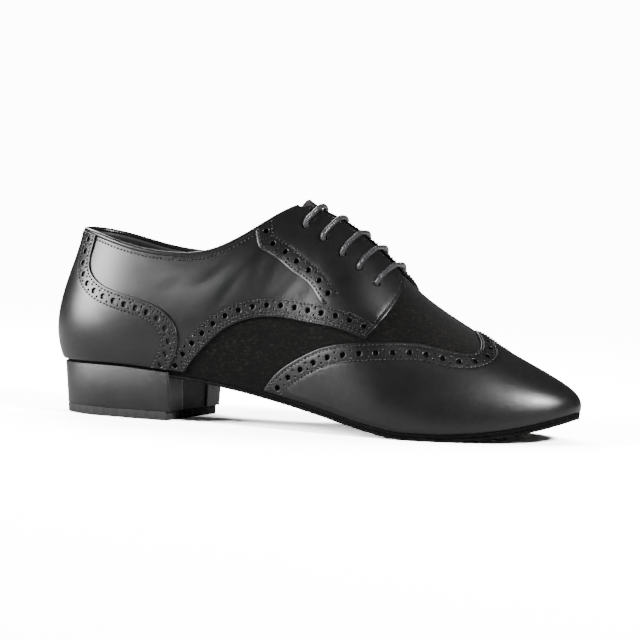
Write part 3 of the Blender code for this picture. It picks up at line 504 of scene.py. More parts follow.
def even_places(length, spacing):
    return np.linspace(0, length, max(2, round(length / spacing) + 1))


def on(path):
    """The points in space of a line on the outer side, where lines are worked out before mirroring."""
    return outside(-path[:, 0], path[:, 1])


def evened(path, spacing):
    run = run_of(on(path))
    return read(path, run, even_places(run[-1], spacing))


def jacobian(angle, up):
    """How a point of the skin moves with the turn and with the share of the way up."""
    low, high = up - NUDGE, np.minimum(up + NUDGE, 1)
    by_turn = (outside(angle + NUDGE, up) - outside(angle - NUDGE, up)) / (2 * NUDGE)
    by_up = (outside(angle, high) - outside(angle, low)) / (high - low)[:, None]
    return np.stack([by_turn, by_up], axis=-1)


def shifted(path, distance):
    """A line moved square to itself along the skin, into its panel.

    An end on the feather line or the rim slides along it.
    """
    angle, up = path.T
    ahead = unit(np.gradient(on(path), axis=0))
    inward = unit(np.cross(ahead, directions(-angle, up)[2]))
    slopes = jacobian(-angle, up) * np.array([-1, 1])
    move = inward * distance
    held = [end for end in (0, -1) if up[end] < 1e-6 or up[end] > 1 - 1e-6]
    for end in held:
        rail = unit(slopes[end, :, 0])
        along = rail @ inward[end]
        move[end] = rail * distance / along if abs(along) > 0.3 else move[end]
    moved = path + np.einsum("nij,nj->ni", np.linalg.pinv(slopes), move)
    moved[:, 1] = np.minimum(moved[:, 1], 1)
    moved[held, 1] = np.round(up[held])
    return moved


def inset(path, distance):
    """The line at a distance inside an edge, moved there in short steps, each smoothed and evened out."""
    count = max(1, math.ceil(abs(distance) / INSET_STEP))
    path = evened(path, EDGE_SPACING)
    for _ in range(count):
        path = shifted(path, distance / count)
        path[1:-1] = (path[:-2] + 2 * path[1:-1] + path[2:]) / 4
        path = evened(path, EDGE_SPACING)
    return path


def facing_edge(angle):
    """How far up the skin the facing's edge lies, half the facing gap from the middle."""
    angle = np.atleast_1d(np.asarray(angle, float))
    ups = np.linspace(0.7, 1, 301)
    line = outside(-np.repeat(angle, 301), np.tile(ups, len(angle)))
    half = np.abs(line[:, 1] - swing(line[:, 0])).reshape(-1, 301)
    return np.array([1.0 if h[-1] >= EDGE_HALF else np.interp(-EDGE_HALF, -h, ups) for h in half])


def edge(table):
    """The edge named by a table of (along, up), through a spline and evenly spaced."""
    rows = [(along, facing_edge(turn(along))[0] if up is None else up) for along, up in table]
    path = np.array([(turn(along), up) for along, up in rows])
    place = to_plane(*path.T) / np.array([TOTAL, ROWS]) * np.array([44, 9])
    way = run_of(place)
    fine = np.linspace(0, way[-1], 800)
    up = np.clip(curve(way, path[:, 1])(fine), 0, 1)
    return evened(np.stack([curve(way, path[:, 0])(fine), up], axis=1), EDGE_SPACING)


def columns_between(first, last):
    """The turns of the whole columns between two shares of the length, plus both ends."""
    a, b = turn(first), turn(last)
    ends = np.interp([a, b], TURNS, COUNTS)
    whole = np.arange(math.ceil(min(ends) + 0.35), math.floor(max(ends) - 0.35) + 1)
    inner = np.interp(whole, COUNTS, TURNS)
    return np.concatenate([[a], inner[::-1] if a > b else inner, [b]])


def row(first, last, up):
    angle = columns_between(first, last)
    return np.stack([angle, np.full(len(angle), float(up))], axis=1)


def facing_line():
    """The facing's front edge along the throat."""
    angle = columns_between(THROAT_TOP, FACING_FRONT[0][0])
    return np.stack([angle, facing_edge(angle)], axis=1)


def rings(centres, radius, sides):
    """Circles on the skin round points of it, true in the skin's own plane: (centres, sides, 2)."""
    slopes = jacobian(*centres.T)
    unit_a = unit(slopes[:, :, 0])
    unit_b = unit(slopes[:, :, 1] - unit_a * (slopes[:, :, 1] * unit_a).sum(axis=1, keepdims=True))
    circle = np.linspace(0, 2 * math.pi, sides, endpoint=False)[:, None, None]
    offsets = radius * (np.cos(circle) * unit_a + np.sin(circle) * unit_b)
    moved = np.einsum("nij,snj->sni", np.linalg.pinv(slopes), offsets)
    return (centres + moved).transpose(1, 0, 2)


def stations(path, pitch, first=0.5, last=0.5):
    """Points evenly spaced along a line, starting and ending a share of the pitch from its ends."""
    run = run_of(on(path))
    count = max(1, round(run[-1] / pitch - first - last) + 1)
    return read(path, run, np.linspace(first * pitch, run[-1] - last * pitch, count))


def sided(path, wrap):
    """A line on each side that a piece spans: round the heel, over the toe, or on one side alone."""
    flip = np.array([-1.0, 1.0])
    mirrored = {"heel": path * flip, "toe": path * flip + np.array([2 * math.pi, 0])}
    if wrap in mirrored:
        return [path, mirrored[wrap]]
    return [path * flip if wrap == "outer" else path]


def relief(angle, up):
    """Lift of the leather by soft creases: short valleys on the skin, each with a low ridge beside it.

    With r along a crease, bent by 6 r^2, and o across it, a valley is -deep exp(-(r/long)^2 - (o/wide)^2).
    """
    lift = np.zeros(np.shape(angle))
    place = to_plane(angle, up) * LATTICE
    place[..., 0] = np.abs(place[..., 0])
    place[..., 0] = np.minimum(place[..., 0], 2 * TOTAL * LATTICE - place[..., 0])
    for along, high, lean, long, wide, deep in CREASES:
        centre = to_plane(turn(along), high) * LATTICE
        x, y = (place[..., 0] - centre[0]), (place[..., 1] - centre[1])
        c, s = math.cos(math.radians(lean)), math.sin(math.radians(lean))
        run, off = x * c + y * s, y * c - x * s + 6.0 * (x * c + y * s) ** 2
        lift -= deep * np.exp(-((run / long) ** 2) - (off / wide) ** 2)
        lift += 0.6 * deep * np.exp(-((run / long) ** 2) - ((off - 1.9 * wide) / (1.2 * wide)) ** 2)
    return lift


# Creases: along, up, lean in degrees, half length, half width and depth in metres.
CREASES = [
    (0.450, 0.62, 62, 0.011, 0.0030, 0.00012), (0.415, 0.72, 80, 0.012, 0.0034, 0.00014),
    (0.370, 0.60, 50, 0.014, 0.0040, 0.00016), (0.330, 0.76, 30, 0.012, 0.0036, 0.00014),
    (0.270, 0.72, 15, 0.016, 0.0040, 0.00012), (0.480, 0.44, 35, 0.008, 0.0024, 0.00012),
    (0.520, 0.42, 20, 0.007, 0.0020, 0.00014), (0.210, 0.80, -10, 0.012, 0.0036, 0.00010),
]


def triangulate(outline, holes, lines, extra):
    """Triangles inside the outline and outside the holes, through the lines and the extra points.

    Each row is x, y, drop. A corner that the rows don't name takes the mean drop of its neighbours.
    """
    loops = [outline, *holes]
    rows = np.concatenate([*loops, *lines, extra])
    edges, start = [], 0
    for loop in loops:
        count = len(loop)
        edges += [(start + i, start + (i + 1) % count) for i in range(count)]
        start += count
    for line in lines:
        edges += [(start + i, start + i + 1) for i in range(len(line) - 1)]
        start += len(line)
    found = delaunay_2d_cdt([Vector(p) for p in rows[:, :2].tolist()], edges, [], 0, 1e-9)
    places = np.array([tuple(v) for v in found[0]])
    faces = np.array(found[2])
    known = np.array([len(ids) > 0 for ids in found[3]])
    drop = np.array([max(rows[ids, 2]) if ids else 0.0 for ids in found[3]])
    ends = np.concatenate([faces[:, [0, 1]], faces[:, [1, 2]], faces[:, [2, 0]]])
    total, count = np.zeros(len(places)), np.zeros(len(places))
    np.add.at(total, ends[:, 0], drop[ends[:, 1]])
    np.add.at(count, ends[:, 0], 1)
    drop = np.where(known, drop, total / np.maximum(count, 1))
    middle = places[faces].mean(axis=1)
    keep = inside(middle, outline[:, :2])
    for hole in holes:
        close = keep & (np.abs(middle - hole[0, :2]) < HOLE_REACH).all(axis=1)
        keep[close] &= ~inside(middle[close], hole[:, :2])
    faces = faces[keep]
    corner = places[faces]
    area = np.cross(corner[:, 1] - corner[:, 0], corner[:, 2] - corner[:, 0])
    faces = np.where(area[:, None] < 0, faces[:, ::-1], faces)
    return places, drop, faces[np.abs(area) > 1e-9]


def two_sided(faces, high, low):
    """A closed solid of two like sheets, joined along every open edge."""
    count = len(high)
    ends = np.concatenate([faces[:, [0, 1]], faces[:, [1, 2]], faces[:, [2, 0]]])
    ends = ends[ends[:, 0] != ends[:, 1]]
    keys = ends[:, 0].astype(np.int64) * count + ends[:, 1]
    back = ends[:, 1].astype(np.int64) * count + ends[:, 0]
    a, b = ends[~np.isin(keys, back)].T
    walls = np.concatenate([np.stack([a, a + count, b + count], 1), np.stack([a, b + count, b], 1)])
    return np.concatenate([high, low]), np.concatenate([faces, faces[:, ::-1] + count, walls])


def outward(points, faces):
    """The faces turned round if they enclose a negative volume."""
    corner = points[faces[:, :3]]
    volume = np.einsum("ij,ij->i", corner[:, 0], np.cross(corner[:, 1], corner[:, 2])).sum()
    return faces if volume > 0 else faces[:, ::-1]


def put(name, points, faces, finish, nodes=(), uv=None):
    """A smooth mesh piece in its place, riding on the body and standing for the named CAD nodes."""
    points = points - np.array([HEEL_CENTRE, 0, 0])
    used, index = np.unique(faces, return_inverse=True)
    faces = index.reshape(faces.shape)
    mesh = bpy.data.meshes.new(name)
    mesh.from_pydata(points[used].tolist(), [], faces.tolist())
    mesh.polygons.foreach_set("use_smooth", np.ones(len(mesh.polygons), bool))
    if uv is not None:
        layer = mesh.uv_layers.new(name="run")
        layer.data.foreach_set("uv", uv[used][faces.ravel()].astype(np.float32).ravel())
    mesh.update()
    slot, maker, tones, values = FINISHES[finish]
    mesh.materials.append(bpy.data.materials.get(finish) or maker(finish, *map(tone, tones), **values))
    made = bpy.data.objects.new(name, mesh)
    bpy.context.scene.collection.objects.link(made)
    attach(made, BODY)
    if nodes:
        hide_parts(*nodes)
    return made


def outline_of(runs, wrap):
    """The closed outline of a panel from its runs of (line, drop of its edge), as rows of x, y, drop."""
    half = np.concatenate([np.column_stack([line, np.full(len(line), drop)]) for line, drop in runs])
    if wrap in ("heel", "toe"):
        other = half * np.array([-1, 1, 1]) + np.array([2 * math.pi if wrap == "toe" else 0, 0, 0])
        half = np.concatenate([half, other[::-1]])
    elif wrap == "outer":
        half = half * np.array([-1, 1, 1])
    places = to_plane(half[:, 0], half[:, 1])
    same = np.linalg.norm(places - np.roll(places, -1, axis=0), axis=1) < 2e-3
    later = np.roll(half[:, 2], 1) * np.roll(same, 1)
    half[:, 2] = np.maximum(half[:, 2], later)
    return np.column_stack([places, half[:, 2]])[~same]


def ring_steps(radius, sides):
    """The rings round a hole: (radius, drop), from its edge out over the rounding to the flat beside it."""
    soft = min(RIM_ROUND, ROUND_STEP[0] * radius)
    steps = [(radius, soft), (radius + ROUND_STEP[0] * soft, ROUND_STEP[1] * soft), (radius + soft, 0.0)]
    if sides < 10:
        del steps[1]
    return [*steps, (radius + soft + HOLE_FLAT, 0.0)]


def panel(name, wrap, runs, low, high, finish, nodes=(), holes=(), rows=(), thins=()):
    """A piece of the skin between two distances from it.

    Its cut edges and holes are rounded over, and it dips along its stitch rows. runs is a list of (line,
    whether it is cut), holes of (centres on one side, radius, sides), rows of lines, and thins of (line,
    width beside it over which the piece thins out, by how much).
    """
    outline = outline_of([(line, cut * RIM_ROUND) for line, cut in runs], wrap)
    lines, loops, points = [], [], []

    def add(path, drop):
        for line in sided(path, wrap):
            lines.append(np.column_stack([to_plane(*line.T), np.full(len(line), drop)]))
            points.append(outside(*line.T))

    for line, cut in runs:
        if cut:
            add(shifted(line, ROUND_STEP[0] * RIM_ROUND), ROUND_STEP[1] * RIM_ROUND)
            add(shifted(line, RIM_ROUND), 0.0)
            add(shifted(line, RIM_ROUND + EDGE_FLAT), 0.0)
            points += [outside(*each.T) for each in sided(line, wrap)]
    for line in rows:
        add(line, ROW_DIP)
        add(shifted(line, ROW_FLAT), 0.0)
        add(shifted(line, -ROW_FLAT), 0.0)
    for centres, radius, sides in holes:
        for each in sided(centres, wrap):
            for size, drop in ring_steps(radius, sides):
                for ring in rings(each, size, sides):
                    place = np.column_stack([to_plane(*ring.T), np.full(sides, drop)])
                    points.append(outside(*ring.T))
                    if size == radius:
                        loops.append(place)
                    else:
                        lines.append(np.concatenate([place, place[:1]]))
    least, most = np.floor(outline[:, :2].min(axis=0)), np.ceil(outline[:, :2].max(axis=0))
    spans = (np.arange(a, b + 1) for a, b in zip(least, most))
    extra = np.stack(np.meshgrid(*spans, indexing="ij"), -1).reshape(-1, 2)
    extra = extra[inside(extra, outline[:, :2])]
    fixed = np.concatenate([*points, outside(*from_plane(outline[:, :2]))])
    extra = extra[~near(outside(*from_plane(extra)), fixed, CLEAR)]
    extra = np.column_stack([extra, np.zeros(len(extra))])
    places, drop, faces = triangulate(outline, loops, lines, extra)
    angle, up = from_plane(places)
    up = np.where(up > 1 - 1e-6, 1.0, np.where(up < 1e-6, 0.0, up))
    key = np.round(outside(angle, up) * 2e6).astype(np.int64)
    _, first, index = np.unique(key, axis=0, return_index=True, return_inverse=True)
    faces = index.reshape(-1)[faces]
    angle, up, drop = angle[first], up[first], drop[first]
    rise = relief(angle, up)
    thinned = np.zeros(len(drop))
    for line, width, deep in thins:
        away = distance_to(outside(-np.abs(angle), up), on(evened(line, EDGE_SPACING / 3)))
        thinned = np.maximum(thinned, deep * (1 - smooth(away / width)))
    top = skin(angle, up, high - (drop + thinned) + rise)
    points, faces = two_sided(faces, top, skin(angle, up, low + rise))
    return put(name, points, outward(points, faces), finish, nodes)


def slab(name, loop, top, bottom, finish, nodes=(), rim=0.0004, shape=None, ragged=0.0):
    """A solid between two heights given as functions of x and y, within a loop in plan.

    Its edges are rounded. A ragged edge moves in and out by a sum of sines of the point's number n round
    the loop: ragged (sin 2.399 n + sin(1.117 n + 1) + sin(0.313 n + 2)) / 3.
    """
    count = len(loop)
    ahead = unit(np.roll(loop, -1, axis=0) - np.roll(loop, 1, axis=0))
    out = np.stack([ahead[:, 1], -ahead[:, 0]], axis=1)
    area = (loop[:, 0] * np.roll(loop[:, 1], -1) - np.roll(loop[:, 0], -1) * loop[:, 1]).sum()
    out *= 1 if area > 0 else -1
    if ragged:
        way = np.arange(count)
        wave = np.sin(way * 2.399) + np.sin(way * 1.117 + 1) + np.sin(way * 0.313 + 2)
        loop = loop + out * (ragged * wave / 3)[:, None]
    steps = [(0.0, rim), (ROUND_STEP[0] * rim, ROUND_STEP[1] * rim), (rim, 0.0)]
    bands = [np.column_stack([loop - out * far, np.full(count, drop)]) for far, drop in steps]
    least, most = loop.min(axis=0), loop.max(axis=0)
    xs, ys = (np.arange(a + SLAB_PITCH / 2, b, SLAB_PITCH) for a, b in zip(least, most))
    extra = np.stack(np.meshgrid(xs, ys, indexing="ij"), axis=-1).reshape(-1, 2)
    extra = extra[inside(extra, loop)]
    extra = extra[~near(extra, bands[-1][:, :2], SLAB_PITCH / 2)]
    extra = np.column_stack([extra, np.zeros(len(extra))])
    lines = [np.concatenate([band, band[:1]]) for band in bands[1:]]
    places, drop, faces = triangulate(bands[0], [], lines, extra)
    x, y = places.T
    sheets = [np.column_stack([places, top(x, y) - drop]), np.column_stack([places, bottom(x, y) + drop])]
    if shape:
        sheets = [shape(points) for points in sheets]
    points, faces = two_sided(faces, *sheets)
    return put(name, points, outward(points, faces), finish, nodes)


def swept(path, radius, sides):
    """A closed round tube along a path, by rings square to it, with rounded ends: (points, faces, uv)."""
    ahead = unit(np.gradient(path, axis=0))
    tips = radius * np.array([0.0, 0.35, 0.8])
    start = [path[0] - ahead[0] * tip for tip in tips[::-1]]
    stop = [path[-1] + ahead[-1] * tip for tip in tips]
    path = np.concatenate([start, path[1:-1], stop])
    ahead = unit(np.gradient(path, axis=0))
    size = np.ones(len(path))
    size[[0, 1, -2, -1]] = 0.35, 0.85, 0.85, 0.35
    normal = unit(np.cross(ahead[0], [0.3, 0.2, 1.0]))
    frames = np.empty((len(path), 3))
    for i, direction in enumerate(ahead):
        normal = unit(normal - direction * (normal @ direction))
        frames[i] = normal
    other = np.cross(ahead, frames)
    circle = np.linspace(0, 2 * math.pi, sides, endpoint=False)[None, :, None]
    rim = np.cos(circle) * frames[:, None] + np.sin(circle) * other[:, None]
    body = (path[:, None] + rim * (radius * size)[:, None, None]).reshape(-1, 3)
    grid = np.arange(len(body)).reshape(-1, sides)
    turned = np.roll(grid, -1, axis=1)
    quads = np.stack([grid[:-1], turned[:-1], turned[1:], grid[1:]], axis=-1).reshape(-1, 4)
    first, last = np.full(sides, len(body)), np.full(sides, len(body) + 1)
    caps = [np.stack([turned[0], grid[0], first], 1), np.stack([grid[-1], turned[-1], last], 1)]
    faces = np.concatenate([quads[:, [0, 1, 2]], quads[:, [0, 2, 3]], *caps])
    body = np.concatenate([body, path[:1], path[-1:]])
    run = run_of(path)
    uv = np.stack([np.tile(np.arange(sides) / sides, len(path)), np.repeat(run, sides)], axis=1)
    uv = np.concatenate([uv, [[0, 0], [0, run[-1]]]])
    return body, outward(body, faces), uv


def full_turn(count=420):
    """Turns round the whole feather line, spaced evenly in plan."""
    fine = np.linspace(-math.pi, math.pi, 4001)
    run = run_of(outside(fine, 0.0)[:, :2])
    return np.interp(np.arange(count) * run[-1] / count, run, fine)


def plan_line(angle, offset):
    """The feather line seen from above, moved out by an offset."""
    ahead = unit((outside(angle + NUDGE, 0.0) - outside(angle - NUDGE, 0.0))[:, :2])
    out = np.stack([-ahead[:, 1], ahead[:, 0]], axis=1)
    return outside(angle, 0.0)[:, :2] + out * np.asarray(offset)[..., None]


def sole_edge(angle, seat=SEAT_EDGE):
    return seat + (SOLE_EDGE - seat) * smooth((share(np.abs(angle)) - 0.28) / 0.2)


def breast(y):
    """Place of the heel's front face, askew: further forward on the inner side."""
    return HEEL_LENGTH + BREAST_SKEW * y


def resample(points, spacing):
    run = run_of(points)
    return read(points, run, even_places(run[-1], spacing))


def behind(offset, setback):
    """The seat's outline at an offset from the feather line, behind the breast, round the back."""
    angle = np.linspace(-turn(0.45), turn(0.45), 1601)
    line = plan_line(angle, np.full(len(angle), offset))
    ahead = line[:, 0] - (breast(line[:, 1]) - setback)
    kept = np.flatnonzero(ahead < 0)
    ends = []
    for i, j in ((kept[0] - 1, kept[0]), (kept[-1], kept[-1] + 1)):
        part = ahead[i] / (ahead[i] - ahead[j])
        ends.append(line[i] + (line[j] - line[i]) * part)
    return resample(np.concatenate([[ends[0]], line[kept], [ends[1]]]), SEAT_SPACING)


def closed_front(line):
    """An outline closed by a straight front from its last point back to its first."""
    front = resample(np.stack([line[-1], line[0]]), SEAT_SPACING)
    return np.concatenate([line, front[1:-1]])


def tapered(points):
    """A heel piece drawn in towards the ground, with its breast left upright."""
    depth = np.clip(1 - points[:, 2:] / HEEL_HEIGHT, 0, 1)
    front = breast(points[:, 1:2])
    x = front - (front - points[:, 0:1]) * (1 - BACK_TAPER * depth)
    y = points[:, 1:2] * (1 - SIDE_TAPER * depth)
    return np.concatenate([x, y, points[:, 2:]], axis=1)


def lace_path():
    """The cord's route: five bars over the facings and the hidden runs under them, as in the model."""
    def at(hole, side, lift, lane=0.0):
        along, up = LACE_HOLES[hole]
        return skin(np.array([side * turn(along)]), np.array([up - lane / SECTION_RUN]), np.array([lift]))[0]

    def between(first, second, side, part, lane=0.0):
        low, high = at(first, side, CORD_UNDER, lane), at(second, side, CORD_UNDER, lane)
        return low + (high - low) * part

    def bar(hole, side):
        along, up = LACE_HOLES[hole]
        halves = []
        for each in (side, -side):
            half = [at(hole, each, CORD_UNDER), at(hole, each, (LINING + FACING_HIGH) / 2)]
            for part in BAR_STEPS:
                angle = turn(along + BAR_SLANT * math.sin(part * math.pi / 2))
                rise = np.array([up + (facing_edge(angle)[0] - up) * part + BAR_PUSH])
                half.append(skin(np.array([each * angle]), rise, np.array([CORD_OVER + BAR_LIFT]))[0])
            halves.append(half)
        middle = skin(np.array([turn(along + BAR_SLANT)]), np.ones(1), np.array([CORD_OVER - BAR_SINK]))[0]
        return halves[0] + [middle] + halves[1][::-1]

    lane = LACE_LANE
    path = [between(0, 1, -1, 0.1, lane), between(0, 1, -1, 0.6, lane)]
    path += bar(1, -1)
    path += [between(1, 2, 1, 0.5, lane), at(2, 1, CORD_UNDER, lane), between(2, 3, 1, 0.5, lane)]
    path += bar(3, 1) + [between(3, 4, -1, 0.5)] + bar(4, -1)
    path += [between(4, 3, 1, 0.5, -lane), at(3, 1, CORD_UNDER, -lane), between(3, 2, 1, 0.5, -lane)]
    path += bar(2, 1)
    path += [between(2, 1, -1, 0.5, -lane), at(1, -1, CORD_UNDER, -lane), between(1, 0, -1, 0.5, -lane)]
    path += bar(0, -1) + [between(0, 1, 1, 0.35, -lane)]
    path = np.array(path)
    way = np.concatenate([[0], np.cumsum(np.linalg.norm(np.diff(path, axis=0), axis=1) ** 0.5)])
    fine = np.linspace(0, way[-1], 6000)
    line = np.stack([curve(way, column)(fine) for column in path.T], axis=1)
    run = run_of(line)
    return read(line, run, np.linspace(0, run[-1], round(run[-1] / CORD_STEP)))


def stitches(name, rows, pitch, long, thick):
    """Rows of thread: each stitch is a bow over the leather, its ends sunk in it, in line with its row.

    rows is a list of (line, wrap, height), and one small mesh is turned and placed for all of a row's
    stitches at once. With s from -1 to 1 along a stitch, its radius is thick/2 sqrt(1 - 0.75 s^2) and its
    middle lies thick (0.28 - 0.85 s^2) above that height.
    """
    sides, rungs = 6, 5
    s = np.linspace(-1, 1, rungs)
    size = thick / 2 * np.sqrt(np.maximum(1 - 0.75 * s**2, 0))
    circle = np.linspace(0, 2 * math.pi, sides, endpoint=False)
    base = np.stack([
        np.repeat(s * long / 2, sides),
        (size[:, None] * np.cos(circle)).ravel(),
        (size[:, None] * np.sin(circle)).ravel() + np.repeat(thick * (0.28 - 0.85 * s**2), sides),
    ], axis=1)
    grid = np.arange(rungs * sides).reshape(rungs, sides)
    turned = np.roll(grid, -1, axis=1)
    quads = np.stack([grid[:-1], grid[1:], turned[1:], turned[:-1]], axis=-1).reshape(-1, 4)
    fan = np.arange(1, sides - 1)
    hub = np.zeros_like(fan)
    caps = [np.stack([hub, fan, fan + 1], 1), (rungs - 1) * sides + np.stack([hub, fan + 1, fan], 1)]
    unit_faces = np.concatenate([quads[:, [0, 1, 2]], quads[:, [0, 2, 3]], *caps])
    bodies, faces, total = [], [], 0
    for line, wrap, height in rows:
        middle = stations(line, pitch)
        ends = [stations(line, pitch, 0.5 + d, 0.5 - d) for d in (-0.2, 0.2)]
        for m, a, b in zip(*(sided(v, wrap) for v in (middle, *ends))):
            angle, up = m.T
            rise = relief(angle, up)
            place = skin(angle, up, height + rise)
            normal = directions(angle, up)[2]
            ahead = unit(outside(*b.T) - outside(*a.T))
            ahead = unit(ahead - normal * (ahead * normal).sum(axis=1, keepdims=True))
            across = np.cross(normal, ahead)
            local = np.stack([ahead, across, normal], axis=1)
            bodies.append((place[:, None] + np.einsum("vk,nkj->nvj", base, local)).reshape(-1, 3))
            starts = total + np.arange(len(m)) * len(base)
            faces.append((starts[:, None, None] + unit_faces).reshape(-1, 3))
            total += len(m) * len(base)
    points, faces = np.concatenate(bodies), np.concatenate(faces)
    return put(name, points, outward(points, faces), "thread")


def feed(tree, made, inputs):
    """Links or sets a node's inputs, by name or number."""
    for key, value in inputs.items():
        if isinstance(value, bpy.types.NodeSocket):
            tree.links.new(value, made.inputs[key])
        else:
            made.inputs[key].default_value = value


def node(tree, kind, inputs=None, **values):
    """A new shader node with its properties and inputs set."""
    made = tree.nodes.new(kind)
    for key, value in values.items():
        setattr(made, key, value)
    feed(tree, made, inputs or {})
    return made


def maths(tree, operation, a, b):
    return node(tree, "ShaderNodeMath", {0: a, 1: b}, operation=operation).outputs[0]


def noise(tree, place, scale, detail, rough=0.5):
    inputs = {"Vector": place, "Scale": scale, "Detail": detail, "Roughness": rough}
    return node(tree, "ShaderNodeTexNoise", inputs).outputs


def mapped(tree, value, low, high, to_low, to_high):
    ends = {"From Min": low, "From Max": high, "To Min": to_low, "To Max": to_high}
    return node(tree, "ShaderNodeMapRange", {"Value": value, **ends}).outputs[0]


def blended(tree, part, first, second):
    ends = (end if isinstance(end, bpy.types.NodeSocket) else (*end, 1) for end in (first, second))
    inputs = {"Factor": part, **dict(zip((6, 7), ends))}
    return node(tree, "ShaderNodeMix", inputs, data_type="RGBA").outputs[2]


def new_group(name, inputs, outputs):
    tree = bpy.data.node_groups.new(name, "ShaderNodeTree")
    for label, default in inputs:
        socket = tree.interface.new_socket(label, in_out="INPUT", socket_type="NodeSocketFloat")
        socket.default_value = default
    for label in outputs:
        tree.interface.new_socket(label, in_out="OUTPUT", socket_type="NodeSocketFloat")
    return tree, tree.nodes.new("NodeGroupInput"), tree.nodes.new("NodeGroupOutput")


def grain_group():
    """Leather grain: pebbles from a cell pattern, broken by noise, with finer pores and broad patches."""
    if "Leather grain" in bpy.data.node_groups:
        return bpy.data.node_groups["Leather grain"]
    inputs = [("Pebbles", 1500.0), ("Patches", 45.0)]
    tree, given, out = new_group("Leather grain", inputs, ["Height", "Pores", "Patches"])
    place = node(tree, "ShaderNodeTexCoord").outputs["Object"]
    bend = noise(tree, place, 300.0, 2.0)["Color"]
    warp = node(tree, "ShaderNodeVectorMath", {0: bend, "Scale": 0.0007}, operation="SCALE").outputs[0]
    moved = node(tree, "ShaderNodeVectorMath", {0: place, 1: warp}, operation="ADD").outputs[0]
    inputs = {"Vector": moved, "Scale": given.outputs["Pebbles"]}
    cells = node(tree, "ShaderNodeTexVoronoi", inputs, feature="DISTANCE_TO_EDGE")
    pebble = mapped(tree, cells.outputs["Distance"], 0.0, 0.22, 0.0, 1.0)
    pores = noise(tree, place, 2600.0, 2.0, 0.6)["Fac"]
    patches = noise(tree, place, given.outputs["Patches"], 3.0, 0.55)["Fac"]
    fade = mapped(tree, patches, *PATCH_RANGE, 0.7, 1.0)
    height = maths(tree, "ADD", maths(tree, "MULTIPLY", pebble, fade), maths(tree, "MULTIPLY", pores, 0.5))
    feed(tree, out, {"Height": height, "Pores": pores, "Patches": patches})
    return tree


def nap_group():
    """Suede nap: short fibres as stretched fine noise, tufts, and broad brushed patches."""
    if "Suede nap" in bpy.data.node_groups:
        return bpy.data.node_groups["Suede nap"]
    inputs = [("Fibres", 2400.0), ("Tufts", 700.0), ("Brushed", 70.0)]
    tree, given, out = new_group("Suede nap", inputs, ["Height", "Fleck", "Brushed"])
    place = node(tree, "ShaderNodeTexCoord").outputs["Object"]
    lie = {"Vector": place, "Rotation": (0.4, 0.5, 0.3), "Scale": (0.55, 1.0, 1.0)}
    tilt = node(tree, "ShaderNodeMapping", lie).outputs[0]
    fibres, tufts, brushed = (
        noise(tree, tilt, given.outputs[key], detail, 0.65)["Fac"]
        for key, detail in (("Fibres", 2.0), ("Tufts", 3.0), ("Brushed", 3.0))
    )
    low, high = maths(tree, "MULTIPLY", fibres, 0.6), maths(tree, "MULTIPLY", tufts, 0.7)
    fleck = mapped(tree, maths(tree, "MULTIPLY", fibres, tufts), 0.27, 0.40, 0.0, 1.0)
    brushed = mapped(tree, brushed, 0.36, 0.64, 0.0, 1.0)
    feed(tree, out, {"Height": maths(tree, "ADD", low, high), "Fleck": fleck, "Brushed": brushed})
    return tree


def wear_group():
    """Scuffs: scattered thin scratches and rubbed spots, as a mask."""
    if "Scuffs" in bpy.data.node_groups:
        return bpy.data.node_groups["Scuffs"]
    tree, given, out = new_group("Scuffs", [("Amount", 0.5)], ["Mask"])
    place = node(tree, "ShaderNodeTexCoord").outputs["Object"]
    lie = {"Vector": place, "Rotation": (0.2, 0.9, 0.4), "Scale": (1.0, 1.0, 9.0)}
    lines = noise(tree, node(tree, "ShaderNodeMapping", lie).outputs[0], 95.0, 5.0, 0.7)["Fac"]
    spots = noise(tree, place, 28.0, 2.0)["Fac"]
    lines, spots = mapped(tree, lines, 0.60, 0.72, 0.0, 1.0), mapped(tree, spots, 0.5, 0.62, 0.0, 1.0)
    both = maths(tree, "MULTIPLY", lines, spots)
    feed(tree, out, {"Mask": maths(tree, "MULTIPLY", both, given.outputs["Amount"])})
    return tree


def grouped(tree, group, **inputs):
    return node(tree, "ShaderNodeGroup", inputs, node_tree=group).outputs


def new_material(name):
    made = bpy.data.materials.new(name)
    made.use_nodes = True
    return made, made.node_tree, made.node_tree.nodes["Principled BSDF"]


def bumped(tree, shader, height, distance):
    bump = node(tree, "ShaderNodeBump", {"Height": height, "Distance": distance})
    feed(tree, shader, {"Normal": bump.outputs[0]})


def leather(name, colour, rough, pebbles=1500.0, depth=0.000022, scuffs=0.12, coat=0.0):
    """Finished calf: pebbled grain, pores, uneven gloss and a few scuffs."""
    made, tree, shader = new_material(name)
    grain = grouped(tree, grain_group(), Pebbles=pebbles)
    worn = grouped(tree, wear_group(), Amount=scuffs)["Mask"]
    light = [min(1.0, c * 1.9 + 0.002) for c in colour]
    shade = blended(tree, mapped(tree, grain["Patches"], *PATCH_RANGE, 0.0, 0.5), colour, light)
    shade = blended(tree, worn, shade, [c * 3 + 0.02 for c in colour])
    gloss = mapped(tree, grain["Patches"], *PATCH_RANGE, rough - GLOSS_SPREAD / 2, rough + GLOSS_SPREAD / 2)
    gloss = maths(tree, "ADD", gloss, maths(tree, "MULTIPLY", worn, 0.25))
    feed(tree, shader, {
        "Base Color": shade, "Roughness": gloss, "Specular IOR Level": 0.5, "Coat Weight": coat,
        "Coat Roughness": 0.24,
    })
    bumped(tree, shader, grain["Height"], depth)
    return made


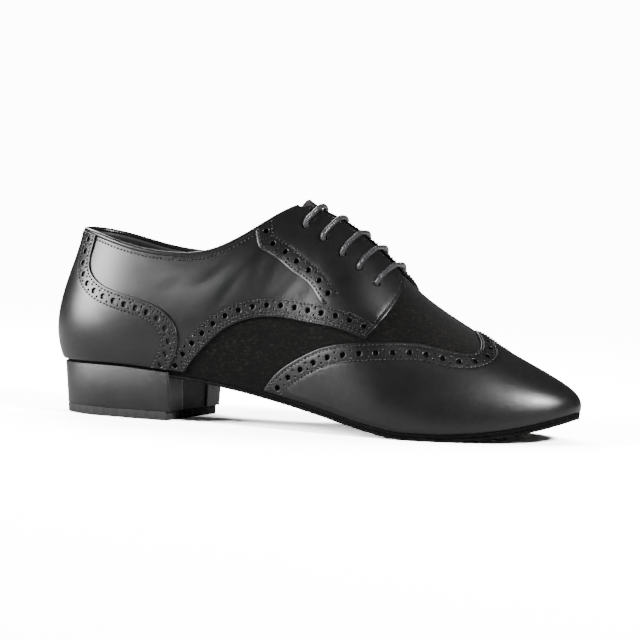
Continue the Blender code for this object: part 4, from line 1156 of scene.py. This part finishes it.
def suede(name, colour, fleck, depth=0.00016, sheen=0.04):
    """Brushed skin: fibres and tufts, lighter flecks where the nap stands, and a soft sheen."""
    made, tree, shader = new_material(name)
    nap = grouped(tree, nap_group())
    shade = blended(tree, nap["Fleck"], colour, fleck)
    shade = blended(tree, maths(tree, "MULTIPLY", nap["Brushed"], 0.5), shade, [c * 0.35 for c in colour])
    feed(tree, shader, {
        "Base Color": shade, "Roughness": mapped(tree, nap["Fleck"], 0.0, 1.0, 0.86, 1.0),
        "Specular IOR Level": 0.05, "Sheen Weight": sheen, "Sheen Roughness": 0.55,
    })
    bumped(tree, shader, nap["Height"], depth)
    return made


def rubber(name, colour, rough):
    """Worn rubber and stacked board: coarse specks and a torn surface."""
    made, tree, shader = new_material(name)
    nap = grouped(tree, nap_group(), Fibres=1600.0, Tufts=420.0)
    feed(tree, shader, {
        "Base Color": blended(tree, nap["Fleck"], colour, [c * 2.6 for c in colour]),
        "Roughness": mapped(tree, nap["Brushed"], 0.0, 1.0, rough - 0.08, rough + 0.1),
        "Specular IOR Level": 0.08,
    })
    bumped(tree, shader, nap["Height"], 0.0006)
    return made


def waxed(name, colour):
    """Round braided cord: two sets of crossing strands read from the piece's own map, under wax, painted
    shade in their grooves.
    """
    made, tree, shader = new_material(name)
    split = node(tree, "ShaderNodeSeparateXYZ", {0: node(tree, "ShaderNodeUVMap", uv_map="run").outputs[0]})
    around = maths(tree, "MULTIPLY", split.outputs[0], STRANDS)
    strands = []
    for lean in (1.0, -1.0):
        phase = maths(tree, "ADD", around, maths(tree, "MULTIPLY", split.outputs[1], lean * STRAND_TURNS))
        strands.append(maths(tree, "SINE", maths(tree, "MULTIPLY", phase, 2 * math.pi), 0.0))
    height = maths(tree, "MAXIMUM", *strands)
    nap = grouped(tree, nap_group(), Fibres=3500.0)
    # Painted shade: down in the grooves between the strands the base colour falls to 0.4 of the cord's
    # colour.
    unshaded_share = mapped(tree, height, -1.0, 1.0, 0.0, 1.0)
    feed(tree, shader, {
        "Base Color": blended(tree, unshaded_share, [c * 0.4 for c in colour], colour),
        "Roughness": mapped(tree, nap["Fleck"], 0.0, 1.0, 0.22, 0.36),
    })
    bumped(tree, shader, maths(tree, "ADD", height, nap["Height"]), 0.00006)
    return made


def cotton(name, colour):
    """Sewing thread: a fine nap with a dull shine."""
    made, tree, shader = new_material(name)
    nap = grouped(tree, nap_group(), Fibres=5200.0, Tufts=2200.0)
    feed(tree, shader, {
        "Base Color": blended(tree, nap["Fleck"], colour, [c * 2.5 for c in colour]),
        "Roughness": mapped(tree, nap["Fleck"], 0.0, 1.0, 0.35, 0.5),
    })
    bumped(tree, shader, nap["Height"], 0.00005)
    return made


def tone(name):
    return list(getattr(bpy.context.scene.shoe_tones, name))


# Finishes: a slot name, the function that makes it, its tones and its other values.
LINED = {"depth": 0.00004}
HEEL_GRAIN = {"pebbles": 1800.0}
FINISHES = {
    "calf": ("black_leather", leather, ["calf"], {"rough": 0.31, "coat": 0.1}),
    "binding_leather": ("black_leather", leather, ["calf"], {"rough": 0.28}),
    "vamp_suede": ("suede_upper", suede, ["suede", "suede_fleck"], {}),
    "tongue_suede": ("tongue_suede", suede, ["suede", "suede_fleck"], {}),
    "lining_leather": (
        "insole_leather", leather, ["lining"], {"rough": 0.62, "pebbles": 900.0, "scuffs": 0.1, **LINED},
    ),
    "sock_leather": (
        "insole_leather", leather, ["lining"], {"rough": 0.58, "pebbles": 1100.0, "scuffs": 0.3, **LINED},
    ),
    "sole_edge": ("outsole_leather", rubber, ["sole_edge"], {"rough": 0.8}),
    "dance_suede": (
        "chrome_suede", suede, ["dance_suede", "dance_fleck"], {"depth": 0.0004, "sheen": 0.03},
    ),
    "heel_core": (
        "heel_core", leather, ["heel_core"], {"rough": 0.26, "depth": 0.00003, "scuffs": 0.6, **HEEL_GRAIN},
    ),
    "heel_calf": (
        "heel_leather", leather, ["heel"], {"rough": 0.34, "depth": 0.00004, "scuffs": 0.2, **HEEL_GRAIN},
    ),
    "heel_rubber": ("heel_rubber", rubber, ["rubber"], {"rough": 0.85}),
    "cord": ("waxed_cord", waxed, ["cord"], {}),
    "thread": ("waxed_cord", cotton, ["thread"], {}),
}


def floor_material(colour, backdrop):
    """Pale floor, lit near the shoe and fading into the backdrop's brightness further out."""
    made, tree, shader = new_material("studio_floor")
    feed(tree, shader, {"Roughness": 0.9, "Specular IOR Level": 0.1, "Base Color": (*colour, 1)})
    path = node(tree, "ShaderNodeLightPath").outputs
    bright, dim = (
        node(tree, "ShaderNodeBsdfDiffuse", {"Color": (gain, gain, gain, 1)}).outputs[0]
        for gain in (FLOOR_SEEN, FLOOR_MIRRORED)
    )

    def mixed(part, first, second):
        return node(tree, "ShaderNodeMixShader", {0: part, 1: first, 2: second}).outputs[0]

    lit = mixed(path["Is Camera Ray"], mixed(path["Is Glossy Ray"], shader.outputs[0], dim), bright)
    glow = node(tree, "ShaderNodeEmission", {"Strength": backdrop}).outputs[0]
    place = node(tree, "ShaderNodeTexCoord").outputs["Object"]
    far = node(tree, "ShaderNodeVectorMath", {0: place}, operation="LENGTH").outputs["Value"]
    fade = maths(tree, "MULTIPLY", mapped(tree, far, *FLOOR_FADE, 0.0, 1.0), path["Is Camera Ray"])
    feed(tree, tree.nodes["Material Output"], {"Surface": mixed(fade, lit, glow)})
    return made


def number(name, description, value, **kind):
    return FloatProperty(name=name, description=description, default=value, **kind)


def length(name, description, value):
    return number(name, description, value, unit="LENGTH")


def colour(name, description, value):
    kind = {"subtype": "COLOR", "min": 0, "max": 1}
    return FloatVectorProperty(name=name, description=description, default=value, **kind)


class ShoeSizes(bpy.types.PropertyGroup):
    """Sizes of the broguing, the stitches and the edges."""

    hole: length("Brogue hole", "Width of a large hole in counter, quarter and facing", 0.0030)
    wing_hole: length("Wing hole", "Width of a large hole in the wing cap", 0.0031)
    pinhole: length("Pinhole", "Width of the small holes between the large ones", 0.0010)
    hole_pitch: length("Hole pitch", "Distance between large holes in the quarter", 0.0080)
    facing_pitch: length("Facing pitch", "Distance between large holes in the facing", 0.0091)
    counter_pitch: length("Counter pitch", "Distance between large holes in the counter", 0.0071)
    wing_pitch: length("Wing pitch", "Distance between large holes in the wing cap", 0.0087)
    first_row: length("First row", "From the counter's edge to its first stitch row", 0.0018)
    band: length("Band", "From the quarter's edge to the last stitch row of its band", 0.0092)
    stitch_pitch: length("Stitch pitch", "Distance from stitch to stitch", 0.0023)
    stitch_length: length("Stitch length", "Length of one stitch", 0.0017)
    thread: length("Thread", "Thickness of the sewing thread", 0.0010)
    cord: length("Cord", "Thickness of the laces", 0.0028)


class ShoeTones(bpy.types.PropertyGroup):
    """Colours of the finishes."""

    calf: colour("Calf", "Leather of quarters, counter, facings and wing cap", (0.0035, 0.0034, 0.0035))
    suede: colour("Suede", "Vamp and tongue", (0.0018, 0.0017, 0.0016))
    suede_fleck: colour("Suede fleck", "Raised nap on the suede", (0.014, 0.013, 0.011))
    lining: colour("Lining", "Lining and insole", (0.006, 0.0055, 0.0055))
    sole_edge: colour("Sole edge", "Dressed edge of the leather sole", (0.0018, 0.0018, 0.0018))
    dance_suede: colour("Dance suede", "Rough suede under the sole", (0.0040, 0.0038, 0.0036))
    dance_fleck: colour("Dance suede fleck", "Raised nap under the sole", (0.012, 0.0115, 0.011))
    heel: colour("Heel leather", "Cover of the heel block", (0.008, 0.008, 0.0085))
    heel_core: colour("Heel core", "Front face of the heel block", (0.005, 0.005, 0.005))
    rubber: colour("Rubber", "Top piece under the heel", (0.0010, 0.0010, 0.0010))
    cord: colour("Cord", "Waxed laces", (0.036, 0.036, 0.038))
    thread: colour("Thread", "Stitching", (0.0018, 0.0018, 0.0018))


class StudioSettings(bpy.types.PropertyGroup):
    """Floor, lights and camera."""

    floor: colour("Floor", "Colour of the floor", (0.86, 0.86, 0.86))
    key: number("Key light", "Power of the broad light at the heel", 74.0, unit="POWER")
    top: number("Top light", "Power of the light overhead", 46.0, unit="POWER")
    front: number("Front light", "Power of the light at the toe", 38.0, unit="POWER")
    rim: number("Rim light", "Power of the light behind the shoe", 18.0, unit="POWER")
    world: number("World", "Brightness of the surroundings in reflections", 0.05)
    backdrop: number("Backdrop", "Brightness of the backdrop and the far floor", 13.0)
    azimuth: number("Azimuth", "Turn of the camera towards the toe", math.radians(19.0), subtype="ANGLE")
    elevation: number("Elevation", "Angle of the camera above the floor", math.radians(3.3), subtype="ANGLE")
    roll: number("Roll", "Turn of the picture, clockwise", math.radians(1.93), subtype="ANGLE")
    distance: length("Distance", "From the camera to the middle of the shoe", 1.2)


def beside(table, distances):
    """An edge and the lines inside it, by name."""
    line = edge(table)
    return {"edge": line, **{name: inset(line, distance) for name, distance in distances.items()}}


def counter_rows():
    return beside(COUNTER_EDGE, {"first": bpy.context.scene.shoe_sizes.first_row, **COUNTER_ROWS})


def quarter_rows():
    return beside(QUARTER_EDGE, {**QUARTER_ROWS, "last": bpy.context.scene.shoe_sizes.band})


def pinholes(path, pitch, apart):
    """Pairs of small holes halfway between the large ones, across the band."""
    one, other = inset(path, apart / 2), inset(path, -apart / 2)
    large = stations(path, pitch)
    middle = (large[1:] + large[:-1]) / 2
    found = []
    for line in (one, other):
        fine = evened(line, 0.0002)
        apart_by = np.linalg.norm(on(middle)[:, None] - on(fine)[None], axis=2)
        found.append(fine[apart_by.argmin(axis=1)])
    return np.concatenate(found)


def brogue(path, hole, pitch, apart=PIN_APART):
    """A row of large holes and the pairs of pinholes between them, as holes of a panel."""
    small = bpy.context.scene.shoe_sizes.pinhole / 2
    large = (stations(path, pitch), hole / 2, LARGE_SIDES)
    return [large, (pinholes(path, pitch, apart), small, PIN_SIDES)]


def lace_holes():
    return [(np.array([(turn(along), up) for along, up in LACE_HOLES]), LACE_HOLE / 2, LARGE_SIDES)]


def throat_row():
    """The stitch row beside the throat and down the facing's front edge."""
    return inset(np.concatenate([facing_line()[:-1], edge(FACING_FRONT)]), THROAT_ROW)


def collar_row():
    return inset(row(0, COLLAR_END, 1), COLLAR_ROW)


class SHOE_OT_upper(bpy.types.Operator):
    """Make the suede vamp and the lining behind all the panels"""

    bl_idname = "shoe.upper"
    bl_label = "Upper"

    def execute(self, context):
        back = np.stack([np.zeros(ROWS - 1), np.arange(1, ROWS) / ROWS], axis=1)
        lines = [row(1, 0, 0), back, row(0, THROAT_TOP, 1), facing_line(), row(THROAT_END, 1, 1)]
        runs = [(line, False) for line in lines]
        holes = lace_holes()
        panel("vamp", "toe", runs, LINING / 2, 0.0, "vamp_suede", ["upper"], holes)
        panel("lining", "toe", runs, LINING, LINING / 2, "lining_leather", (), holes)
        return {"FINISHED"}


class SHOE_OT_quarters(bpy.types.Operator):
    """Make the quarters with their brogued lower band"""

    bl_idname = "shoe.quarters"
    bl_label = "Quarters"

    def execute(self, context):
        s = context.scene.shoe_sizes
        rows = quarter_rows()
        runs = [
            (row(0, COLLAR_END, 1), True), (facing_line(), True), (edge(FACING_FRONT), True),
            (rows["edge"], True), (row(QUARTER_EDGE[-1][0], 0, 0), False),
        ]
        holes = lace_holes()
        holes += brogue(rows["holes"], s.hole, s.hole_pitch)
        holes += brogue(beside(FACING_REAR, FACING_ROWS)["holes"], s.hole, s.facing_pitch)[:1]
        sewn = [rows["first"], rows["second"], rows["last"], collar_row()]
        panel("quarter_leather", "heel", runs, LAID_ON, PANEL_HIGH, "calf", ["quarters"], holes, sewn)
        return {"FINISHED"}


class SHOE_OT_facings(bpy.types.Operator):
    """Make the lace hole panels with their curved brogued bands"""

    bl_idname = "shoe.facings"
    bl_label = "Facings"

    def execute(self, context):
        s = context.scene.shoe_sizes
        rows = beside(FACING_REAR, FACING_ROWS)
        front = edge(FACING_FRONT)
        front = front[front[:, 1] > FACING_FOOT[-1][1]]
        runs = [
            (row(FACING_REAR[0][0], COLLAR_END, 1), True), (facing_line(), True), (front, True),
            (edge(FACING_FOOT)[::-1], True), (rows["edge"][::-1], True),
        ]
        holes = lace_holes()
        holes += brogue(rows["holes"], s.hole, s.facing_pitch)
        sewn = [rows["first"], rows["last"], throat_row()]
        thins = [(edge(FACING_FOOT), *FOOT_THINS), (rows["edge"], *REAR_THINS)]
        for side in ("outer", "inner"):
            panel(
                f"facing_{side}_leather", side, runs, PANEL_HIGH - FACING_BACK, FACING_HIGH, "calf",
                ["facing_" + side], holes, sewn, thins,
            )
        return {"FINISHED"}


class SHOE_OT_counter(bpy.types.Operator):
    """Make the heel panel with its brogued band and the strip up the back seam"""

    bl_idname = "shoe.counter"
    bl_label = "Counter"

    def execute(self, context):
        s = context.scene.shoe_sizes
        rows = counter_rows()
        foot = row(COUNTER_EDGE[-1][0], 0, 0)
        runs = [(row(0, COUNTER_EDGE[0][0], 1), True), (rows["edge"], True), (foot, False)]
        panel(
            "counter_leather", "heel", runs, PANEL_HIGH - 2 * LAID_ON, TRIM_HIGH, "calf", ["counter"],
            brogue(rows["holes"], s.hole, s.counter_pitch), [rows["first"], rows["last"]],
        )
        return {"FINISHED"}


class SHOE_OT_wing_cap(bpy.types.Operator):
    """Make the wing cap with its brogued band"""

    bl_idname = "shoe.wing_cap"
    bl_label = "Wing cap"

    def execute(self, context):
        s = context.scene.shoe_sizes
        rows = beside(WING_EDGE, WING_ROWS)
        foot, ridge = row(1, WING_EDGE[0][0], 0), row(WING_EDGE[-1][0], 1, 1)
        runs = [(foot, False), (rows["edge"], True), (ridge, False)]
        holes = brogue(rows["holes"], s.wing_hole, s.wing_pitch, WING_PIN_APART)
        panel(
            "wing_leather", "toe", runs, LAID_ON, PANEL_HIGH, "calf", ["wing_cap"], holes,
            [rows["first"], rows["last"]],
        )
        return {"FINISHED"}


class SHOE_OT_binding(bpy.types.Operator):
    """Make the rolled binding on the collar's edge"""

    bl_idname = "shoe.binding"
    bl_label = "Collar binding"

    def execute(self, context):
        half = columns_between(0, COLLAR_END)
        angle = np.concatenate([-half[::-1], half[1:]])
        up = np.ones(len(angle))
        rise = directions(angle, up)[1]
        ahead = unit(np.gradient(outside(angle, up), axis=0))
        rise = unit(rise - ahead * (rise * ahead).sum(axis=1, keepdims=True))
        middle = (LINING + PANEL_HIGH) / 2 + BINDING_SHIFT
        points = skin(angle, up, np.full(len(angle), middle)) + rise * (BINDING_THICK / 2 - BINDING_SINK)
        body, faces, uv = swept(points, BINDING_RADIUS, TUBE_SIDES)
        put("binding", body, faces, "binding_leather", ["collar_binding"], uv)
        return {"FINISHED"}


class SHOE_OT_tongue(bpy.types.Operator):
    """Make the tongue under the facings"""

    bl_idname = "shoe.tongue"
    bl_label = "Tongue"

    def execute(self, context):
        way = np.arange(len(TONGUE_ROWS))
        fine = np.linspace(0, way[-1], 90)
        along, slide = (np.interp(fine, way, TONGUE_ROWS[:, i]) for i in (0, 1))
        run = run_of(outside(-turn(along), np.ones(len(fine))) + TONGUE_LEAN * slide[:, None])
        even = np.interp(np.linspace(0, run[-1], 70), run, fine)
        along, slide, drop, crest, sag = (np.interp(even, way, TONGUE_ROWS[:, i]) for i in (0, 1, 3, 4, 5))
        half = np.maximum(curve(way, TONGUE_ROWS[:, 2])(even), 0.0)
        across = np.linspace(-1, 1, 71)
        across = np.sign(across) * np.abs(across) ** 1.5
        sheets = []
        for below in (0.0, TONGUE_THICK):
            rows = []
            for a, s, h, d, up, down in zip(along, slide, half, drop, crest, sag):
                lift = LINING - GAP + (TONGUE_TOP - LINING + GAP) * d
                soft = TONGUE_ROUND * (1 - np.sqrt(np.maximum(1 - np.abs(across) ** 12, 0)))
                line = tongue_row(a, s, h, lift - below + (soft if below else -soft), across)
                line[:, 2] += down + up * (1 - smooth((np.abs(across) * h - CREST_HALF) / CREST_SIDE))
                rows.append(line)
            sheets.append(np.array(rows))
        high, low = sheets
        count, wide = high.shape[:2]
        grid = np.arange(count * wide).reshape(count, wide)
        a, b, c, d = grid[:-1, :-1], grid[:-1, 1:], grid[1:, 1:], grid[1:, :-1]
        faces = np.concatenate([np.stack(v, -1).reshape(-1, 3) for v in ((a, b, c), (a, c, d))])
        points, faces = two_sided(faces, high.reshape(-1, 3), low.reshape(-1, 3))
        put("tongue_leather", points, outward(points, faces), "tongue_suede", ["tongue"])
        return {"FINISHED"}


def tongue_row(along, slide, half, lift, across):
    """Points across the tongue: measured down the skin from the ridge, then slid up and back."""
    ups = np.linspace(0.3, 1, 351)
    top = outside(-turn(along), 1.0)
    rim = abs(top[1] - swing(top[0]))
    far = np.abs(across) * half
    up = np.empty(len(across))
    for side in (-1, 1):
        line = outside(np.full(351, side * turn(along)), ups)
        run = np.linalg.norm(np.diff(line, axis=0), axis=1)
        left = np.concatenate([np.cumsum(run[::-1])[::-1], [0]])
        mine = (across < 0) if side < 0 else (across >= 0)
        up[mine] = np.interp(-np.maximum(far[mine] - rim, 0), -left, ups)
    angle = np.where(across < 0, -1, 1) * turn(along)
    points = skin(angle, up, np.zeros(len(up)) + lift)
    points[:, 1] *= np.minimum(far / max(rim, 1e-9), 1)
    return points + TONGUE_LEAN * slide


def under(drop):
    """The height a given way below the feather line, as a function of x and y."""
    return lambda x, y: feather_at(x) - drop


def level(height):
    return lambda x, y: np.full_like(x, height)


class SHOE_OT_insole(bpy.types.Operator):
    """Make the sock over the insole"""

    bl_idname = "shoe.insole"
    bl_label = "Insole"

    def execute(self, context):
        angle = full_turn()
        loop = plan_line(angle, np.full(len(angle), -UPPER_WALL - GAP))
        slab("insole_sock", loop, under(-INSOLE_THICK), under(0), "sock_leather", ["insole"])
        return {"FINISHED"}


class SHOE_OT_sole(bpy.types.Operator):
    """Make the leather sole and the dance suede under its front"""

    bl_idname = "shoe.sole"
    bl_label = "Sole"

    def execute(self, context):
        angle = full_turn(560)
        whole = plan_line(angle, sole_edge(angle, SEAT_EDGE - HEEL_COVER - GAP))
        slab("sole_leather", whole, under(0), under(GAP + OUTSOLE_THICK), "sole_edge", ["outsole"], 0.0006)
        fine = np.linspace(-math.pi, math.pi, 4001)
        line = np.roll(plan_line(fine, sole_edge(fine) - GAP)[:-1], 2000, axis=0)
        front = closed_front(resample(line[line[:, 0] > breast(line[:, 1]) + GAP], 0.0011))
        slab(
            "sole_suede", front, under(STACK - SUEDE_THICK - GAP), under(STACK), "dance_suede",
            ["suede_sole"], ragged=SUEDE_RAGGED,
        )
        return {"FINISHED"}


def cover_top(outer, seat):
    """Height of the heel cover: short of the upper round the outside, under the sole at the breast."""
    def height(x, y):
        flat = np.stack([x, y], axis=1)
        beside = distance_to(flat, resample(outer, 0.0004)) < HEEL_COVER * 0.6
        return np.where(beside, feather_at(x) - COVER_GAP, seat(x, y) + COVER_LIFT)

    return height


class SHOE_OT_heel(bpy.types.Operator):
    """Make the heel block, its leather cover and the top piece"""

    bl_idname = "shoe.heel"
    bl_label = "Heel"

    def execute(self, context):
        seat, over = under(GAP + OUTSOLE_THICK + GAP), level(TOP_PIECE + LAID_ON)
        core = closed_front(behind(SEAT_EDGE - HEEL_COVER - LAID_ON, HEEL_COVER + GAP))
        slab("heel_front", core, seat, over, "heel_core", ["heel_block"], shape=tapered)
        outer, inner = behind(SEAT_EDGE, 0), behind(SEAT_EDGE - HEEL_COVER, HEEL_COVER)
        flaps = []
        for end in (outer[-1], outer[0]):
            y = end[1] - math.copysign(COVER_FLAP, end[1])
            flaps.append((np.array([breast(y), y]), np.array([breast(y) - HEEL_COVER, y])))
        first, last = flaps
        joins = ((outer[-1], first[0]), (first[1], inner[-1]), (inner[0], last[1]), (last[0], outer[0]))
        a, b, c, d = (resample(np.stack(ends), 0.001)[1:-1] for ends in joins)
        cover = np.concatenate([outer, a, first, b, inner[::-1], c, last[::-1], d])
        top = cover_top(outer, seat)
        slab("heel_leather", cover, top, over, "heel_calf", ["heel_cover"], 0.0003, shape=tapered)
        piece = closed_front(behind(SEAT_EDGE, TOP_PIECE_SETBACK))
        slab(
            "top_piece", piece, level(TOP_PIECE), level(0), "heel_rubber", ["heel_top_piece"], 0.0005,
            shape=tapered, ragged=TOP_RAGGED,
        )
        return {"FINISHED"}


class SHOE_OT_laces(bpy.types.Operator):
    """Make the waxed cord through the lace holes"""

    bl_idname = "shoe.laces"
    bl_label = "Laces"

    def execute(self, context):
        body, faces, uv = swept(lace_path(), context.scene.shoe_sizes.cord / 2, TUBE_SIDES)
        put("lace_cord", body, faces, "cord", ["laces"], uv)
        return {"FINISHED"}


class SHOE_OT_stitching(bpy.types.Operator):
    """Sew every stitch row"""

    bl_idname = "shoe.stitching"
    bl_label = "Stitching"

    def execute(self, context):
        s = context.scene.shoe_sizes
        counter, quarter = counter_rows(), quarter_rows()
        facing, wing = beside(FACING_REAR, FACING_ROWS), beside(WING_EDGE, WING_ROWS)
        low, middle, high = (face - THREAD_DIP for face in (PANEL_HIGH, FACING_HIGH, TRIM_HIGH))
        rows = [(counter[k], "heel", high) for k in ("first", "last")]
        rows += [(quarter[k], "heel", low) for k in ("first", "second", "last")]
        rows += [(wing[k], "toe", low) for k in ("first", "last")]
        rows += [(collar_row(), "heel", low)]
        for line in TACK:
            rows += [(edge(line), side, PANEL_HIGH + TACK_LIFT) for side in ("outer", "inner")]
        for side in ("outer", "inner"):
            rows += [(line, side, middle) for line in (facing["first"], facing["last"], throat_row())]
        stitches("stitching", rows, s.stitch_pitch, s.stitch_length, s.thread)
        return {"FINISHED"}


def lay_floor(settings):
    mesh = bpy.data.meshes.new("floor")
    corners = [(x * FLOOR_HALF, y * FLOOR_HALF, 0) for x, y in ((-1, -1), (1, -1), (1, 1), (-1, 1))]
    mesh.from_pydata(corners, [], [(0, 1, 2, 3)])
    mesh.materials.append(floor_material(settings.floor, settings.backdrop))
    floor = bpy.data.objects.new("floor", mesh)
    bpy.context.scene.collection.objects.link(floor)


def make_world(settings):
    """A backdrop that is bright to the camera and dim in reflections, more so on the camera's side."""
    world = bpy.data.worlds.new("studio")
    world.use_nodes = True
    tree = world.node_tree
    place = node(tree, "ShaderNodeTexCoord").outputs["Generated"]
    way = node(tree, "ShaderNodeSeparateXYZ", {0: place}).outputs[1]
    far = mapped(tree, way, -0.4, 0.7, settings.world * 0.25, settings.world)
    seen = node(tree, "ShaderNodeLightPath").outputs["Is Camera Ray"]
    strength = node(tree, "ShaderNodeMix", {0: seen, 2: far, 3: settings.backdrop}, data_type="FLOAT")
    feed(tree, tree.nodes["Background"], {"Strength": strength.outputs[0], "Color": (1, 1, 1, 1)})
    bpy.context.scene.world = world


def hang_lamps(settings):
    for name, place, wide, tall in LAMPS:
        data = bpy.data.lights.new(name, "AREA")
        data.shape, data.size, data.size_y = "RECTANGLE", wide, tall
        data.energy = getattr(settings, name)
        lamp = bpy.data.objects.new(name, data)
        lamp.location = place
        lamp.rotation_euler = (Vector(place) - Vector(AIM)).to_track_quat("Z", "Y").to_euler()
        lamp.visible_glossy = name != "top"
        bpy.context.scene.collection.objects.link(lamp)


def aim_camera(settings):
    a, e = settings.azimuth, settings.elevation
    right = Vector((math.cos(a), math.sin(a), 0))
    back = Vector((math.sin(a) * math.cos(e), -math.cos(a) * math.cos(e), math.sin(e)))
    up = back.cross(right)
    c, n = math.cos(settings.roll), math.sin(settings.roll)
    turned = Matrix((c * right + n * up, c * up - n * right, back)).transposed().to_4x4()
    data = bpy.data.cameras.new("camera")
    data.lens = PIXELS_PER_MM * SENSOR * settings.distance * 1000 / PICTURE
    data.sensor_width = SENSOR
    data.shift_x, data.shift_y = (shift / PICTURE for shift in SHIFT)
    data.clip_start, data.clip_end = 0.05, 50
    camera = bpy.data.objects.new("camera", data)
    camera.matrix_world = Matrix.Translation(Vector(AIM) + back * settings.distance) @ turned
    bpy.context.scene.collection.objects.link(camera)
    bpy.context.scene.camera = camera


class SHOE_OT_studio(bpy.types.Operator):
    """Lay the floor, hang the lights and aim the camera as in the photograph"""

    bl_idname = "shoe.studio"
    bl_label = "Studio"

    def execute(self, context):
        for step in (lay_floor, make_world, hang_lamps, aim_camera):
            step(context.scene.shoe_studio)
        return {"FINISHED"}


class SHOE_PT_panel(bpy.types.Panel):
    """The shoe's pieces, sizes and colours in the 3D view's sidebar"""

    bl_idname = "SHOE_PT_panel"
    bl_label = "Ballroom dance shoe"
    bl_space_type = "VIEW_3D"
    bl_region_type = "UI"
    bl_category = "Shoe"

    def draw(self, context):
        for group in (context.scene.shoe_sizes, context.scene.shoe_tones, context.scene.shoe_studio):
            column = self.layout.column()
            for name in group.__annotations__:
                column.prop(group, name)
        for made in OPERATORS:
            self.layout.operator(made.bl_idname)


OPERATORS = (
    SHOE_OT_upper, SHOE_OT_quarters, SHOE_OT_facings, SHOE_OT_counter, SHOE_OT_wing_cap, SHOE_OT_binding,
    SHOE_OT_tongue, SHOE_OT_insole, SHOE_OT_sole, SHOE_OT_heel, SHOE_OT_laces, SHOE_OT_stitching,
    SHOE_OT_studio,
)
CLASSES = (ShoeSizes, ShoeTones, StudioSettings, *OPERATORS, SHOE_PT_panel)


def register():
    for made in CLASSES:
        bpy.utils.register_class(made)
    bpy.types.Scene.shoe_sizes = PointerProperty(type=ShoeSizes)
    bpy.types.Scene.shoe_tones = PointerProperty(type=ShoeTones)
    bpy.types.Scene.shoe_studio = PointerProperty(type=StudioSettings)


def unregister():
    for name in ("shoe_sizes", "shoe_tones", "shoe_studio"):
        delattr(bpy.types.Scene, name)
    for made in reversed(CLASSES):
        bpy.utils.unregister_class(made)


def main():
    register()
    for made in OPERATORS:
        name = made.bl_idname.split(".")[1]
        getattr(bpy.ops.shoe, name)()


if __name__ == "__main__":
    main()
